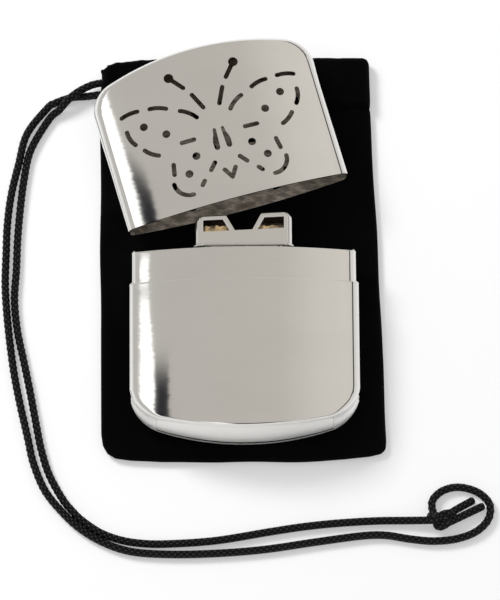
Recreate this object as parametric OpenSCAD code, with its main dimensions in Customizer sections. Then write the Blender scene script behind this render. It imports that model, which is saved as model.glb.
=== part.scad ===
// Catalytic pocket hand warmer lying on its own drawstring pouch, with the cap pulled off.
// The warmer is a flat tank of cotton wadding with a clip-on catalyst burner in its neck.
// Millimetres. +X runs across the warmer, +Y along it towards the cap, +Z up from the table.
// The origin lies on the pouch's underside, below the middle of the tank's shoulder.

/* [Warmer] */
// Width of the warmer
warmer_w = 68; // [60:1:80]
// Thickness of the warmer along its middle
warmer_t = 14.6; // [13.8:0.2:18]
// Fall of each face from its middle to its long edges
face_crown = 4.4; // [3.4:0.2:4.8]
// Radius of the arched top and bottom
end_arch_r = 100; // [80:5:160]
// Radius of the corners at the cap's arched top
corner_r = 9; // [6:0.5:12]
// Radius of the edge between a face and its side wall
edge_r = 1.5; // [0.8:0.1:1.8]
// Thickness of the drawn sheet
sheet = 0.55; // [0.4:0.05:0.65]

/* [Tank] */
// Length of the tank from its shoulder to its lowest point
tank_len = 47.7; // [40:0.5:60]
// Height of the collar above the shoulder
collar_h = 10.2; // [8:0.2:14]
// Radius of the corners at the tank's arched bottom
base_corner_r = 11.5; // [9:0.5:13]
// How deep the collar reaches below the shoulder
collar_seat = 5; // [3:0.5:8]
// Play between the collar and the cap, on each side
cap_play = 0.15; // [0.1:0.01:0.2]
// Width of the collar's turned-in lip
lip_w = 1.6; // [1.2:0.1:1.8]
// Width of the tank's turned-in bottom rim
rim_w = 1.2; // [1:0.1:2.5]
// How far the base plate lies inside the bottom rim
base_recess = 1; // [0.7:0.1:1.5]
// Thickness of the base plate and the top plate
plate_t = 0.6; // [0.5:0.05:1]
// Gap left where one pressed piece sits inside another
seat_gap = 0.05; // [0.03:0.01:0.08]

/* [Filler neck] */
// Width of the neck across the warmer
neck_w = 23; // [18:0.5:24]
// Depth of the neck through the warmer
neck_d = 5.4; // [4.6:0.1:5.6]
// Height of the neck above the collar
neck_h = 3; // [2:0.1:3.2]
// Width of the neck's flange
neck_flange = 1.2; // [0.8:0.1:1.3]
// Wall of the neck
neck_wall = 0.6; // [0.4:0.05:0.8]
// How deep the neck reaches below the top plate
neck_depth = 3; // [2:0.5:5]

/* [Burner] */
// Width of the burner
burner_w = 28.8; // [28.4:0.2:34]
// Depth of the burner
burner_d = 8.4; // [8.2:0.1:9]
// Height of the burner's housing above its skirt
housing_h = 9.8; // [9:0.2:13]
// Height of the skirt's rim above the collar
skirt_lift = 0.9; // [0.8:0.1:1.5]
// Thickness of the skirt's rim
skirt_rim_t = 0.8; // [0.5:0.1:1.2]
// How far the skirt's rim stands out from the housing
skirt_flare = 0.8; // [0.5:0.1:1.4]
// Play between the skirt and the neck, on each side
skirt_play = 0.15; // [0.1:0.01:0.2]
// Half width of the notch at its floor
notch_floor = 2.6; // [2:0.1:3.4]
// Half width of the notch at the top
notch_top = 5.6; // [4.5:0.1:7]
// Height of the notch's floor above the skirt's rim
notch_h = 4.4; // [4:0.1:5]
// Height of a window
window_h = 3.5; // [2.5:0.1:4]
// Width of the metal round a window
window_frame = 1.7; // [1.2:0.1:2.2]
// Height of the catalyst mat
mat_h = 2.2; // [1.5:0.1:2.6]
// How far the mat rises behind each window
mat_rise = 1.1; // [0.5:0.1:1.6]
// Radius of the holes in the catalyst's screen
screen_hole_r = 0.9; // [0.6:0.1:1.2]

/* [Cap] */
// Length of the cap along its middle
cap_len = 49.7; // [45:0.5:60]
// Width of a vent slot
slot_w = 1.35; // [1:0.05:1.6]
// Radius of a round vent
vent_r = 1.2; // [0.9:0.05:1.4]
// Radius of the round vents at the feelers' tips
tip_r = 1.45; // [1.1:0.05:1.6]
// Distance of the cap's mouth from the shoulder as it lies
cap_away = 26.5; // [25:0.5:40]
// Sideways shift of the cap as it lies
cap_shift = -1.6; // [-3:0.2:3]
// Turn of the cap as it lies, in degrees
cap_turn = 15.4; // [5:0.2:16]
// Rise of the cap towards its far end as it lies, in degrees
cap_rise = 3; // [3:0.1:3.6]

/* [Pouch] */
// Left edge of the pouch
pouch_left = 43; // [41:0.5:48]
// Right edge of the pouch at its bottom
pouch_right = 41.5; // [40:0.5:48]
// Right edge of the pouch at its mouth
pouch_mouth_right = 38.3; // [36:0.1:40]
// Distance of the pouch's bottom from the shoulder
pouch_bottom = 52.3; // [50:0.1:60]
// Distance of the casing's lower edge from the shoulder
casing_start = 60; // [58:0.5:61]
// Width of the casing that holds the drawstring
casing_w = 17; // [16.8:0.2:20]
// Thickness of the casing
casing_t = 4.8; // [4.6:0.1:4.8]
// Thickness of one layer of the pouch
cloth_t = 1.5; // [1.3:0.1:1.5]
// Gap between the pouch and what lies on it
rest_gap = 0.3; // [0.2:0.05:0.4]

/* [Drawstring] */
// Diameter of the drawstring
cord_d = 2.2; // [1.8:0.1:2.3]
// Distance from the shoulder to where the two strands leave the casing
exit_y = 67.5; // [67:0.1:68]
// Half distance between the two strands where they leave the casing
exit_half = 1.9; // [1.9:0.05:2]

/* [Hidden] */

CHROME = [0.72, 0.71, 0.68];
SATIN = [0.66, 0.66, 0.64];
COTTON = [0.93, 0.92, 0.88];
CATALYST = [0.66, 0.55, 0.38];
VELVET = [0.06, 0.06, 0.07];
CORD = [0.09, 0.09, 0.1];

over = 1;                                   // how far a cutter runs past what it cuts
pouch_t = 2 * cloth_t;
mid_z = pouch_t + rest_gap + warmer_t / 2;  // height of the warmer's middle plane
step = sheet + cap_play;                    // width of the shoulder round the collar
half_w = warmer_w / 2;

face_r = (half_w * half_w + face_crown * face_crown) / (2 * face_crown);
FACE_STEPS = 28;
ARCH_STEPS = 14;
CORNER_STEPS = 8;
EDGE_STEPS = 4;
END_STEPS = 4;                              // steps round the end of a slot

lip_y = collar_h - sheet;                   // underside of the collar's lip
plate_y = lip_y - plate_t;                  // underside of the top plate
neck_top = collar_h + neck_h;
neck_bottom = plate_y - neck_depth;
neck_flange_t = sheet - 0.1;
skirt_wall = 0.5;
skirt_base = lip_y + neck_flange_t + 0.3;
skirt_rim_y = collar_h + skirt_lift;
housing_y = skirt_rim_y + skirt_rim_t;
housing_top = housing_y + housing_h;
screen_y = neck_top + 0.4;
screen_t = 0.4;
mat_y = screen_y + screen_t;
inner_w = burner_w - 2 * skirt_wall;
inner_d = burner_d - 2 * skirt_wall;
housing_r = 2.4;
lobe_r = 2.2;
base_in = base_recess + plate_t;
base_half_w = half_w - base_corner_r + 3.5;

// ---- outlines ----

// Points on an arc about c, from angle a0 to a1 in n steps.
function arc(c, r, a0, a1, n) = [for (i = [0:n]) let (a = a0 + (a1 - a0) * i / n) c + r * [cos(a), sin(a)]];

// Outline with its corners rounded: pts are the corners in order, radii the radius at each.
function rounded(pts, radii, n = 4) = [
    for (i = [0:len(pts) - 1])
        let (p = pts[i], a = pts[(i + len(pts) - 1) % len(pts)], b = pts[(i + 1) % len(pts)],
             u = (a - p) / norm(a - p), v = (b - p) / norm(b - p),
             half = acos(u * v) / 2, m = (u + v) / norm(u + v), r = radii[i],
             c = p + m * r / sin(half), side = sign(u[0] * v[1] - u[1] * v[0]),
             start = atan2(-m[1], -m[0]) + side * (90 - half))
        each r == 0 ? [p] : arc(c, r, start, start - 2 * side * (90 - half), n)
];

// Rectangle w by d about the origin, with corner radius r.
function rounded_rect(w, d, r) =
    rounded([[-w / 2, -d / 2], [w / 2, -d / 2], [w / 2, d / 2], [-w / 2, d / 2]], [r, r, r, r]);

// The warmer's arched end, len along +Y, drawn in by d all round and cut off square at start.
function arched(len, start, d, corner) =
    let (cx = half_w - corner, rise = end_arch_r - corner, phi = asin(cx / rise),
         arch_y = len - end_arch_r, cy = arch_y + sqrt(rise * rise - cx * cx), rc = corner - d)
    concat([[half_w - d, start]],
           arc([cx, cy], rc, 0, 90 - phi, CORNER_STEPS),
           arc([0, arch_y], end_arch_r - d, 90 - phi, 90 + phi, ARCH_STEPS),
           arc([-cx, cy], rc, 90 + phi, 180, CORNER_STEPS),
           [[d - half_w, start]]);

function flipped(pts) = [for (p = pts) [p[0], -p[1]]];

// Outlines of the tank, the cap and the collar as functions of how far they are drawn in.
tank_outline = function (d) flipped(arched(tank_len, d * step / edge_r, d, base_corner_r));
tank_cavity = function (d) flipped(arched(tank_len - base_in + sheet, d, d, base_corner_r));
cap_outline = function (d) arched(cap_len, -5, d, corner_r);
collar_outline = function (d) [[half_w - d, -collar_seat], [half_w - d, collar_h - d + step],
                               [d - half_w, collar_h - d + step], [d - half_w, -collar_seat]];

// Two flat arcs back to back: the warmer's cross-section, drawn in by d, out to half width w.
function lens(d, w) =
    let (r = face_r - d, cz = warmer_t / 2 - face_r,
         front = [for (i = [0:FACE_STEPS]) let (x = w - 2 * w * i / FACE_STEPS) [x, cz + sqrt(r * r - x * x)]])
    concat(front, [for (i = [FACE_STEPS:-1:0]) [front[i][0], -front[i][1]]]);

// ---- solids from outlines ----

// Outline in X and Z, drawn out along Y from y0 to y1.
module along_y(y0, y1) {
    translate([0, y1, 0]) rotate([90, 0, 0]) linear_extrude(y1 - y0) children();
}

// Outline in X and Y, drawn out along Z for a depth about the middle plane.
module through(depth) {
    linear_extrude(depth, center = true) children();
}

// A body with the warmer's cross-section and the given outline, drawn in by d, with rounded edges.
module crowned_block(outline, d, r) {
    hull() {
        for (k = [0:EDGE_STEPS]) {
            a = 90 * k / EDGE_STEPS;
            intersection() {
                along_y(-warmer_w, warmer_w) polygon(lens(d + r * (1 - cos(a)), half_w));
                through(2 * warmer_t) polygon(outline(d + r * (1 - sin(a))));
            }
        }
    }
}

// Straight piece of the warmer's cross-section, drawn in by d, from y0 to y1.
module crowned_slice(d, y0, y1) {
    along_y(y0, y1) polygon(lens(d, half_w - d));
}

// Rounded rectangular tube or plug round the neck's axis.
module neck_block(w, d, r, y0, y1) {
    along_y(y0, y1) polygon(rounded_rect(w, d, r));
}

module in_warmer() {
    translate([0, 0, mid_z]) children();
}

// ---- tank ----

module tank_shell() {
    color(CHROME) in_warmer() difference() {
        crowned_block(tank_outline, 0, edge_r);
        crowned_block(tank_cavity, sheet, edge_r - sheet);
        crowned_slice(step - seat_gap, -2, over);
        base_opening();
    }
}

// The opening inside the bottom rim.
module base_opening() {
    along_y(-tank_len - over, -tank_len + base_corner_r) polygon(lens(rim_w, base_half_w));
}

// The arched band between two depths inside the tank's bottom.
module bottom_band(near, far) {
    translate([0, end_arch_r - tank_len, 0]) difference() {
        cylinder(r = end_arch_r - near, h = warmer_t, center = true, $fn = 360);
        cylinder(r = end_arch_r - far, h = warmer_t + over, center = true, $fn = 360);
    }
}

module base_plate() {
    color(SATIN) in_warmer() intersection() {
        bottom_band(base_recess, base_in);
        along_y(-tank_len, -tank_len + 2 * base_corner_r)
            polygon(lens(rim_w + seat_gap, base_half_w - seat_gap));
    }
}

module collar_sleeve() {
    color(CHROME) in_warmer() difference() {
        crowned_block(collar_outline, step, edge_r - 0.2);
        crowned_slice(step + sheet, -collar_seat - over, lip_y);
        crowned_slice(step + lip_w, lip_y - over, collar_h + over);
    }
}

module top_plate() {
    color(SATIN) in_warmer() difference() {
        crowned_slice(step + sheet + seat_gap, plate_y, lip_y);
        neck_block(neck_w + 2 * seat_gap, neck_d + 2 * seat_gap, neck_d / 2 - 0.3, plate_y - over, lip_y + over);
    }
}

module filler_neck() {
    color(SATIN) in_warmer() difference() {
        union() {
            neck_block(neck_w, neck_d, neck_d / 2 - 0.4, neck_bottom, neck_top);
            neck_block(neck_w + 2 * neck_flange, neck_d + 2 * neck_flange, neck_d / 2, lip_y, lip_y + neck_flange_t);
        }
        neck_block(neck_w - 2 * neck_wall, neck_d - 2 * neck_wall, neck_d / 2 - 1, neck_bottom - over, neck_top + over);
    }
}

module cotton_wadding() {
    fill_in = sheet + 0.5;
    color(COTTON) in_warmer() intersection() {
        crowned_slice(step + sheet + 0.4, -tank_len, neck_bottom);
        through(2 * warmer_t) polygon(concat(
            flipped(arched(tank_len - base_in - 0.2, 0, fill_in, base_corner_r)),
            [[fill_in - half_w, neck_bottom + over], [half_w - fill_in, neck_bottom + over]]));
    }
}

module wick_pad() {
    pad_in = neck_wall + seat_gap;
    color(COTTON) in_warmer()
        neck_block(neck_w - 2 * pad_in, neck_d - 2 * pad_in, neck_d / 2 - 1.1, neck_bottom, neck_top - 0.4);
}

// ---- burner ----

module burner_skirt() {
    bore_w = neck_w + 2 * skirt_play;
    bore_d = neck_d + 2 * skirt_play;
    color(CHROME) in_warmer() difference() {
        union() {
            neck_block(bore_w + 2 * skirt_wall, bore_d + 2 * skirt_wall, bore_d / 2, skirt_base, screen_y);
            neck_block(burner_w + 2 * skirt_flare, burner_d + 2 * skirt_flare, housing_r + skirt_flare,
                       skirt_rim_y, housing_y);
        }
        neck_block(bore_w, bore_d, bore_d / 2 - 0.4, skirt_base - over, screen_y + over);
    }
}

// Front view of the burner: two lobes with a notch between them.
function burner_front(top) =
    rounded([[-burner_w / 2, housing_y], [burner_w / 2, housing_y], [burner_w / 2, top], [notch_top, top],
             [notch_floor, housing_y + notch_h], [-notch_floor, housing_y + notch_h], [-notch_top, top],
             [-burner_w / 2, top]],
            [0, 0, lobe_r, 0.5, 0, 0, 0.5, lobe_r]);

// One window: level top and bottom, upright outer edge, inner edge along the notch.
function window_outline() =
    let (lean = (notch_top - notch_floor) / (housing_h - notch_h), y0 = housing_y + notch_h, y1 = y0 + window_h)
    rounded([[notch_floor + window_frame, y0], [burner_w / 2 - window_frame - 0.7, y0],
             [burner_w / 2 - window_frame - 0.7, y1], [notch_floor + window_frame + lean * window_h, y1]],
            [0.3, 0.3, 0.5, 0.3]);

module burner_housing() {
    color(CHROME) in_warmer() difference() {
        intersection() {
            neck_block(burner_w, burner_d, housing_r, housing_y, housing_top);
            through(2 * burner_d) polygon(burner_front(housing_top));
        }
        neck_block(inner_w, inner_d, housing_r - skirt_wall, housing_y - over, housing_top - skirt_wall);
        for (side = [0, 1]) mirror([side, 0, 0]) through(2 * burner_d) polygon(window_outline());
    }
}

module catalyst_screen() {
    pitch = 2.9;
    count = floor((inner_w / 2 - screen_hole_r - skirt_wall) / pitch);
    color(SATIN) in_warmer() difference() {
        neck_block(inner_w - 2 * seat_gap, inner_d - 2 * seat_gap, housing_r - skirt_wall, screen_y, mat_y);
        for (i = [-count:count], j = [-0.5, 0.5]) {
            translate([i * pitch, mat_y + over, j * pitch]) rotate([90, 0, 0])
                cylinder(r = screen_hole_r, h = screen_t + 2 * over, $fn = 24);
        }
    }
}

module catalyst_mat() {
    mat_in = 0.2;
    lobe_w = burner_w / 2 - 2 * window_frame - notch_floor;
    color(CATALYST) in_warmer() union() {
        neck_block(inner_w - 2 * mat_in, inner_d - 2 * mat_in, housing_r - skirt_wall, mat_y, mat_y + mat_h);
        for (side = [-1, 1]) translate([side * (burner_w / 4 + notch_floor / 2), 0, 0])
            neck_block(lobe_w, inner_d - 4 * mat_in, 1.5, mat_y + mat_h / 2, mat_y + mat_h + mat_rise);
    }
}

// ---- cap ----

// Slot from p to q, bowed sideways by bow at its middle, with round ends.
function slot_outline(p, q, bow = 0) =
    let (r = slot_w / 2, u = (q - p) / norm(q - p), v = [-u[1], u[0]],
         n = bow == 0 ? 1 : 4,
         path = [for (i = [0:n]) let (t = i / n) p + u * (r + (norm(q - p) - 2 * r) * t) + v * bow * 4 * t * (1 - t)],
         turn = atan(4 * bow / norm(q - p)), head = atan2(u[1], u[0]),
         left = [for (i = [1:max(1, n - 1)]) if (i < n) path[i] + v * r],
         right = [for (i = [max(1, n - 1):-1:1]) if (i < n) path[i] - v * r])
    concat(arc(path[0], r, head + turn + 270, head + turn + 90, END_STEPS), left,
           arc(path[n], r, head - turn + 90, head - turn - 90, END_STEPS), right);

// Half of the butterfly: the slots as [from, to, bow] and the round vents, across and up from the mouth.
WING_SLOTS = [
    [[21, 34.6], [27.3, 33.9], 0.3], [[12.6, 32.5], [18.6, 34.3], 0.3], [[4.7, 27], [10, 31.2], 0.4],
    [[24.7, 24], [26.5, 29.8], -0.4], [[18.7, 18.8], [23.3, 22.5], -0.3], [[7.2, 20.9], [12.3, 20.9], 0],
    [[15.7, 15.7], [16.5, 11.3], 0], [[17.8, 9.5], [12.1, 3.9], 1.4],
    [[3.4, 12.7], [6, 9.7], 0], [[7.9, 8], [9.7, 5.9], 0],
    [[6.2, 37], [9.4, 41], 0], [[2.2, 29.3], [5, 35.3], 0]
];
WING_VENTS = [[21.1, 29.2], [15.3, 25], [8.6, 15.7], [12.1, 10.9]];
FEELER_TIP = [10, 41.7];
BODY_VENT = [[0.8, 22.6], [1.8, 22.6], [2, 20.7], [2.8, 18.5], [2.4, 15.8], [1.1, 15.8]];

module butterfly() {
    for (side = [0, 1]) mirror([side, 0]) {
        for (s = WING_SLOTS) polygon(slot_outline(s[0], s[1], s[2]));
        for (p = WING_VENTS) translate(p) circle(vent_r, $fn = 20);
        translate(FEELER_TIP) circle(tip_r, $fn = 20);
        polygon(rounded(BODY_VENT, [0.45, 0.45, 1, 1.2, 0.7, 0.5], 3));
        polygon(slot_outline([-slot_w / 2 + 0.1, 5.5], [2, 9.8]));
    }
}

module cap_shell() {
    color(CHROME)
        translate([cap_shift, cap_away, pouch_t + rest_gap]) rotate([0, 0, cap_turn]) rotate([cap_rise, 0, 0])
        translate([0, 0, warmer_t / 2]) difference() {
            crowned_block(cap_outline, 0, edge_r);
            crowned_block(cap_outline, sheet, edge_r - sheet);
            translate([-warmer_w, -warmer_w, -warmer_t]) cube([2 * warmer_w, warmer_w, 2 * warmer_t]);
            through(2 * warmer_t) butterfly();
        }
}

// ---- pouch ----

casing_end = casing_start + casing_w;
casing_mid = casing_start + casing_w / 2;
channel_t = cord_d + 0.5;
channel_w = casing_w - 3.2;

module pouch_panel(z) {
    drop = 1.8;                              // how far the bottom corners lie above the bottom's middle
    translate([0, 0, z]) linear_extrude(cloth_t) polygon(rounded(
        [[-pouch_left, casing_start], [drop - pouch_left, drop - pouch_bottom], [-pouch_left / 2, -pouch_bottom],
         [pouch_right / 2, -pouch_bottom], [pouch_right, drop - pouch_bottom], [pouch_mouth_right, casing_start]],
        [0, 6, 30, 30, 2, 0], 6));
}

module pouch_back_panel() {
    color(VELVET) pouch_panel(0);
}

module pouch_front_panel() {
    color(VELVET) pouch_panel(cloth_t);
}

module pouch_casing() {
    color(VELVET) difference() {
        translate([-pouch_left, 0, 0]) rotate([90, 0, 90]) linear_extrude(pouch_left + pouch_mouth_right)
            polygon(rounded([[casing_start, 0], [casing_end, 0], [casing_end, casing_t], [casing_start, casing_t]],
                            [0, 1.2, 2.2, 1.5]));
        translate([-pouch_left - over, casing_mid - channel_w / 2, casing_t / 2 - channel_t / 2])
            cube([pouch_left + pouch_mouth_right + over - cloth_t, channel_w, channel_t]);
    }
}

// ---- drawstring ----

// Routes of the two free strands from the casing's left end to the knot, along the cord's centre. The short strand
// leaves the casing above the long one and crosses over it.
cord_z = cord_d / 2;
exit_z = casing_t / 2;
over_z = cord_z + cord_d + 0.12;
LONG_ROUTE = [
    [-pouch_left, exit_y - exit_half, exit_z], [-45.4, 65.5, exit_z - 0.5], [-47.8, 65.5, cord_z + 0.2],
    [-50.2, 65.5, cord_z], [-52.4, 65.1, cord_z], [-54.6, 64.4, cord_z], [-56.8, 63.4, cord_z], [-59, 62.1, cord_z],
    [-61.2, 60.3, cord_z], [-63.2, 57.9, cord_z], [-66, 52.7, cord_z], [-68.5, 43, cord_z],
    [-70.3, 31, cord_z], [-71.5, 20, cord_z], [-71.8, 10, cord_z], [-71.2, -0.5, cord_z], [-69.9, -12.8, cord_z],
    [-67.8, -26, cord_z], [-65.8, -36, cord_z], [-64.2, -44, cord_z], [-62.5, -51.8, cord_z], [-59.2, -60.2, cord_z],
    [-54.4, -66.7, cord_z], [-48.8, -71.5, cord_z], [-42, -75.7, cord_z], [-34, -79, cord_z], [-23.5, -80.6, cord_z],
    [-10, -80.5, cord_z], [5, -79.4, cord_z], [21, -77.1, cord_z], [34, -75.4, cord_z], [41, -75.3, cord_z],
    [48, -76.5, cord_z], [55, -77.2, cord_z], [62, -76.5, cord_z], [67.7, -74.2, cord_z], [71.2, -70.4, cord_z],
    [71.6, -66, cord_z], [69, -62.7, cord_z], [65, -60.9, cord_z], [61, -60.6, cord_z], [57.2, -62, cord_z],
    [54.8, -64.9, cord_z + 0.3], [54.9, -69, cord_z + 1.1]
];
SHORT_ROUTE = [
    [-pouch_left, exit_y + exit_half, exit_z], [-45.3, 68.8, exit_z + 0.15], [-47.6, 67.6, exit_z + 0.55],
    [-49.6, 66.2, over_z], [-51.6, 64.6, over_z], [-53.4, 62.9, cord_z + 1.75], [-55.4, 60.9, cord_z + 0.65],
    [-57.6, 58.4, cord_z], [-60.8, 54.4, cord_z], [-63.4, 49, cord_z], [-65.2, 41.5, cord_z],
    [-66.6, 31, cord_z], [-67.7, 20, cord_z], [-68.2, 10, cord_z], [-68, -1, cord_z], [-66.7, -12.8, cord_z],
    [-64.4, -24, cord_z], [-62, -36, cord_z], [-59.8, -47, cord_z], [-57, -56, cord_z], [-53, -63, cord_z],
    [-48.2, -68, cord_z], [-42.4, -72.1, cord_z], [-34.5, -75.8, cord_z], [-23.5, -77.4, cord_z],
    [-9, -76.5, cord_z], [7, -73.9, cord_z], [17, -72.4, cord_z], [27, -71.4, cord_z], [38, -70.8, cord_z],
    [47, -70.9, cord_z + 0.4], [54.6, -71.2, cord_z + 1.3]
];
KNOT = [58, -71, 3];
KNOT_HALF = 3.6;
SIDES = 8;

// Tube of radius r along a route that lies nearly level: one ring of points at each route point.
module tube(route, r) {
    last = len(route) - 1;
    heading = [for (i = [0:last]) let (d = route[min(i + 1, last)] - route[max(i - 1, 0)]) d / norm(d)];
    rings = [for (i = [0:last]) let (t = heading[i], s = cross(t, [0, 0, 1]) / norm(cross(t, [0, 0, 1])), u = cross(s, t))
        for (k = [0:SIDES - 1]) let (a = 360 * (k + 0.5) / SIDES) route[i] + (s * cos(a) + u * sin(a)) * r];
    walls = [for (i = [0:last - 1], k = [0:SIDES - 1]) let (a = i * SIDES, b = (k + 1) % SIDES)
        each [[a + k, a + SIDES + b, a + SIDES + k], [a + k, a + b, a + SIDES + b]]];
    polyhedron(rings, concat([[for (k = [SIDES - 1:-1:0]) k]], walls,
                             [[for (k = [0:SIDES - 1]) last * SIDES + k]]));
}

module drawstring_long_strand() {
    color(CORD) tube(LONG_ROUTE, cord_d / 2);
}

module drawstring_short_strand() {
    color(CORD) tube(SHORT_ROUTE, cord_d / 2);
}

// The part of the drawstring inside the casing: out along one edge, round, and back along the other.
module drawstring_casing_run() {
    turn_r = channel_w / 2 - cord_d / 2 - 0.3;
    turn_at = [pouch_mouth_right - cloth_t - cord_d / 2 - 0.3 - turn_r, casing_mid];
    bend = arc(turn_at, turn_r, 90, -90, 12);
    flat_route = concat([[-pouch_left, exit_y + exit_half], [0, casing_mid + turn_r - 0.4]], bend,
                        [[0, casing_mid - turn_r + 0.4], [-pouch_left, exit_y - exit_half]]);
    color(CORD) tube([for (p = flat_route) [p[0], p[1], exit_z]], cord_d / 2);
}

// Overhand knot that joins the two strands: three turns of cord side by side round a core.
module drawstring_knot() {
    turns = 3;
    pitch = 0.9 * cord_d;
    color(CORD) translate(KNOT) rotate([0, 90, 0]) rotate_extrude($fn = 48) union() {
        translate([0, -KNOT_HALF]) square([0.7 * cord_d, 2 * KNOT_HALF]);
        for (i = [0:turns - 1]) translate([KNOT[2] - cord_d / 2, (i - (turns - 1) / 2) * pitch])
            circle(d = cord_d, $fn = 32);
    }
}

module drawstring_tails() {
    tips = [[66.4, -65.1, cord_z + 0.2], [68.9, -66.5, cord_z + 0.2]];
    roots = [[59.6, -69.4, KNOT[2] - 0.6], [61.2, -70.6, KNOT[2] - 0.8]];
    color(CORD) for (i = [0, 1]) tube([roots[i], (roots[i] + tips[i]) / 2, tips[i]], cord_d / 2);
}

tank_shell();
base_plate();
collar_sleeve();
top_plate();
filler_neck();
cotton_wadding();
wick_pad();
burner_skirt();
burner_housing();
catalyst_screen();
catalyst_mat();
cap_shell();
pouch_back_panel();
pouch_front_panel();
pouch_casing();
drawstring_casing_run();
drawstring_long_strand();
drawstring_short_strand();
drawstring_knot();
drawstring_tails();
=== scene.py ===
"""Looks of a catalytic hand warmer that lies on its drawstring pouch with the cap pulled off.

Metres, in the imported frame: +X runs across the warmer, +Y towards the cap, +Z up from the table.
"""

import logging
import math
from collections.abc import Callable, Iterable, Sequence
from dataclasses import dataclass
from enum import Enum

import bmesh
import bpy
import numpy as np
from mathutils import Matrix, Vector, noise

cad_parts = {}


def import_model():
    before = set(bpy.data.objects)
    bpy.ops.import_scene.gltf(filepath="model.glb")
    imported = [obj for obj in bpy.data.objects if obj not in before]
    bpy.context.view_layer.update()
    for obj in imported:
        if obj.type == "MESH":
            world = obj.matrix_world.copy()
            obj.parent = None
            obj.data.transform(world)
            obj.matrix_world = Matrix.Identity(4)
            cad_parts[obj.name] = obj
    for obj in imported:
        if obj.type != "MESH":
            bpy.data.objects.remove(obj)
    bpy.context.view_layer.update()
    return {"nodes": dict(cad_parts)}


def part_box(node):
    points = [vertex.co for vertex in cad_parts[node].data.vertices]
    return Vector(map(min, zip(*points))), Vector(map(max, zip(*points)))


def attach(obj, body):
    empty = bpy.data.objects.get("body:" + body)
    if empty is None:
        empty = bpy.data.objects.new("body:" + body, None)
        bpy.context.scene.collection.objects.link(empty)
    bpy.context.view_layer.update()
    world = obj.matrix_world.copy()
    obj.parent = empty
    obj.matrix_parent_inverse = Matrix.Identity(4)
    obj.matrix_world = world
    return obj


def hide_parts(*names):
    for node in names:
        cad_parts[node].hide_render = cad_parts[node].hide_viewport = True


log = logging.getLogger("hand_warmer")

MM = 0.001
Colour = tuple[float, float, float]
Point = tuple[float, float, float]


class Body(Enum):
    """The bodies that move by themselves."""

    POUCH = "pouch"
    TANK = "tank"
    BURNER = "burner"
    CAP = "cap"


class Slot(Enum):
    """The record's material slots."""

    CHROME = "chrome_shell"
    SATIN = "satin_plate"
    BURNER = "burner_sheet"
    COTTON = "cotton"
    FIBRE = "catalyst_fibre"
    VELVET = "velvet"
    BRAID = "cord_braid"


# ---- shader expressions ----


class Signal:
    """A value, vector or colour socket in a node tree, with arithmetic on values."""

    def __init__(self, tree: "Tree", socket: bpy.types.NodeSocket) -> None:
        """Wraps a socket.

        Args:
            tree: The tree that the socket belongs to.
            socket: An output socket.
        """
        self.tree = tree
        self.socket = socket

    def _math(self, operation: str, *terms: "Signal | float") -> "Signal":
        """Returns a Math node's result on these terms."""
        return self.tree.node("ShaderNodeMath", {"operation": operation}, *terms)

    def __add__(self, other: "Signal | float") -> "Signal":
        """Returns self + other."""
        return self._math("ADD", self, other)

    __radd__ = __add__

    def __sub__(self, other: "Signal | float") -> "Signal":
        """Returns self - other."""
        return self._math("SUBTRACT", self, other)

    def __rsub__(self, other: float) -> "Signal":
        """Returns other - self."""
        return self._math("SUBTRACT", other, self)

    def __mul__(self, other: "Signal | float") -> "Signal":
        """Returns self * other."""
        return self._math("MULTIPLY", self, other)

    __rmul__ = __mul__

    def between(self, low: float, high: float) -> "Signal":
        """Returns a smooth step from 0 at low to 1 at high."""
        return self.tree.node(
            "ShaderNodeMapRange", {"interpolation_type": "SMOOTHSTEP"}, self, low, high, 0.0, 1.0)

    def band(self, low: float, rise: float, fall: float, high: float) -> "Signal":
        """Returns 1 from rise to fall, with smooth sides that reach 0 at low and at high."""
        return self.between(low, rise) * (1 - self.between(fall, high))

    def clamped(self) -> "Signal":
        """Returns self kept from 0 to 1."""
        return self.tree.node("ShaderNodeClamp", {}, self, 0.0, 1.0)


Term = Signal | float | Colour


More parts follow.
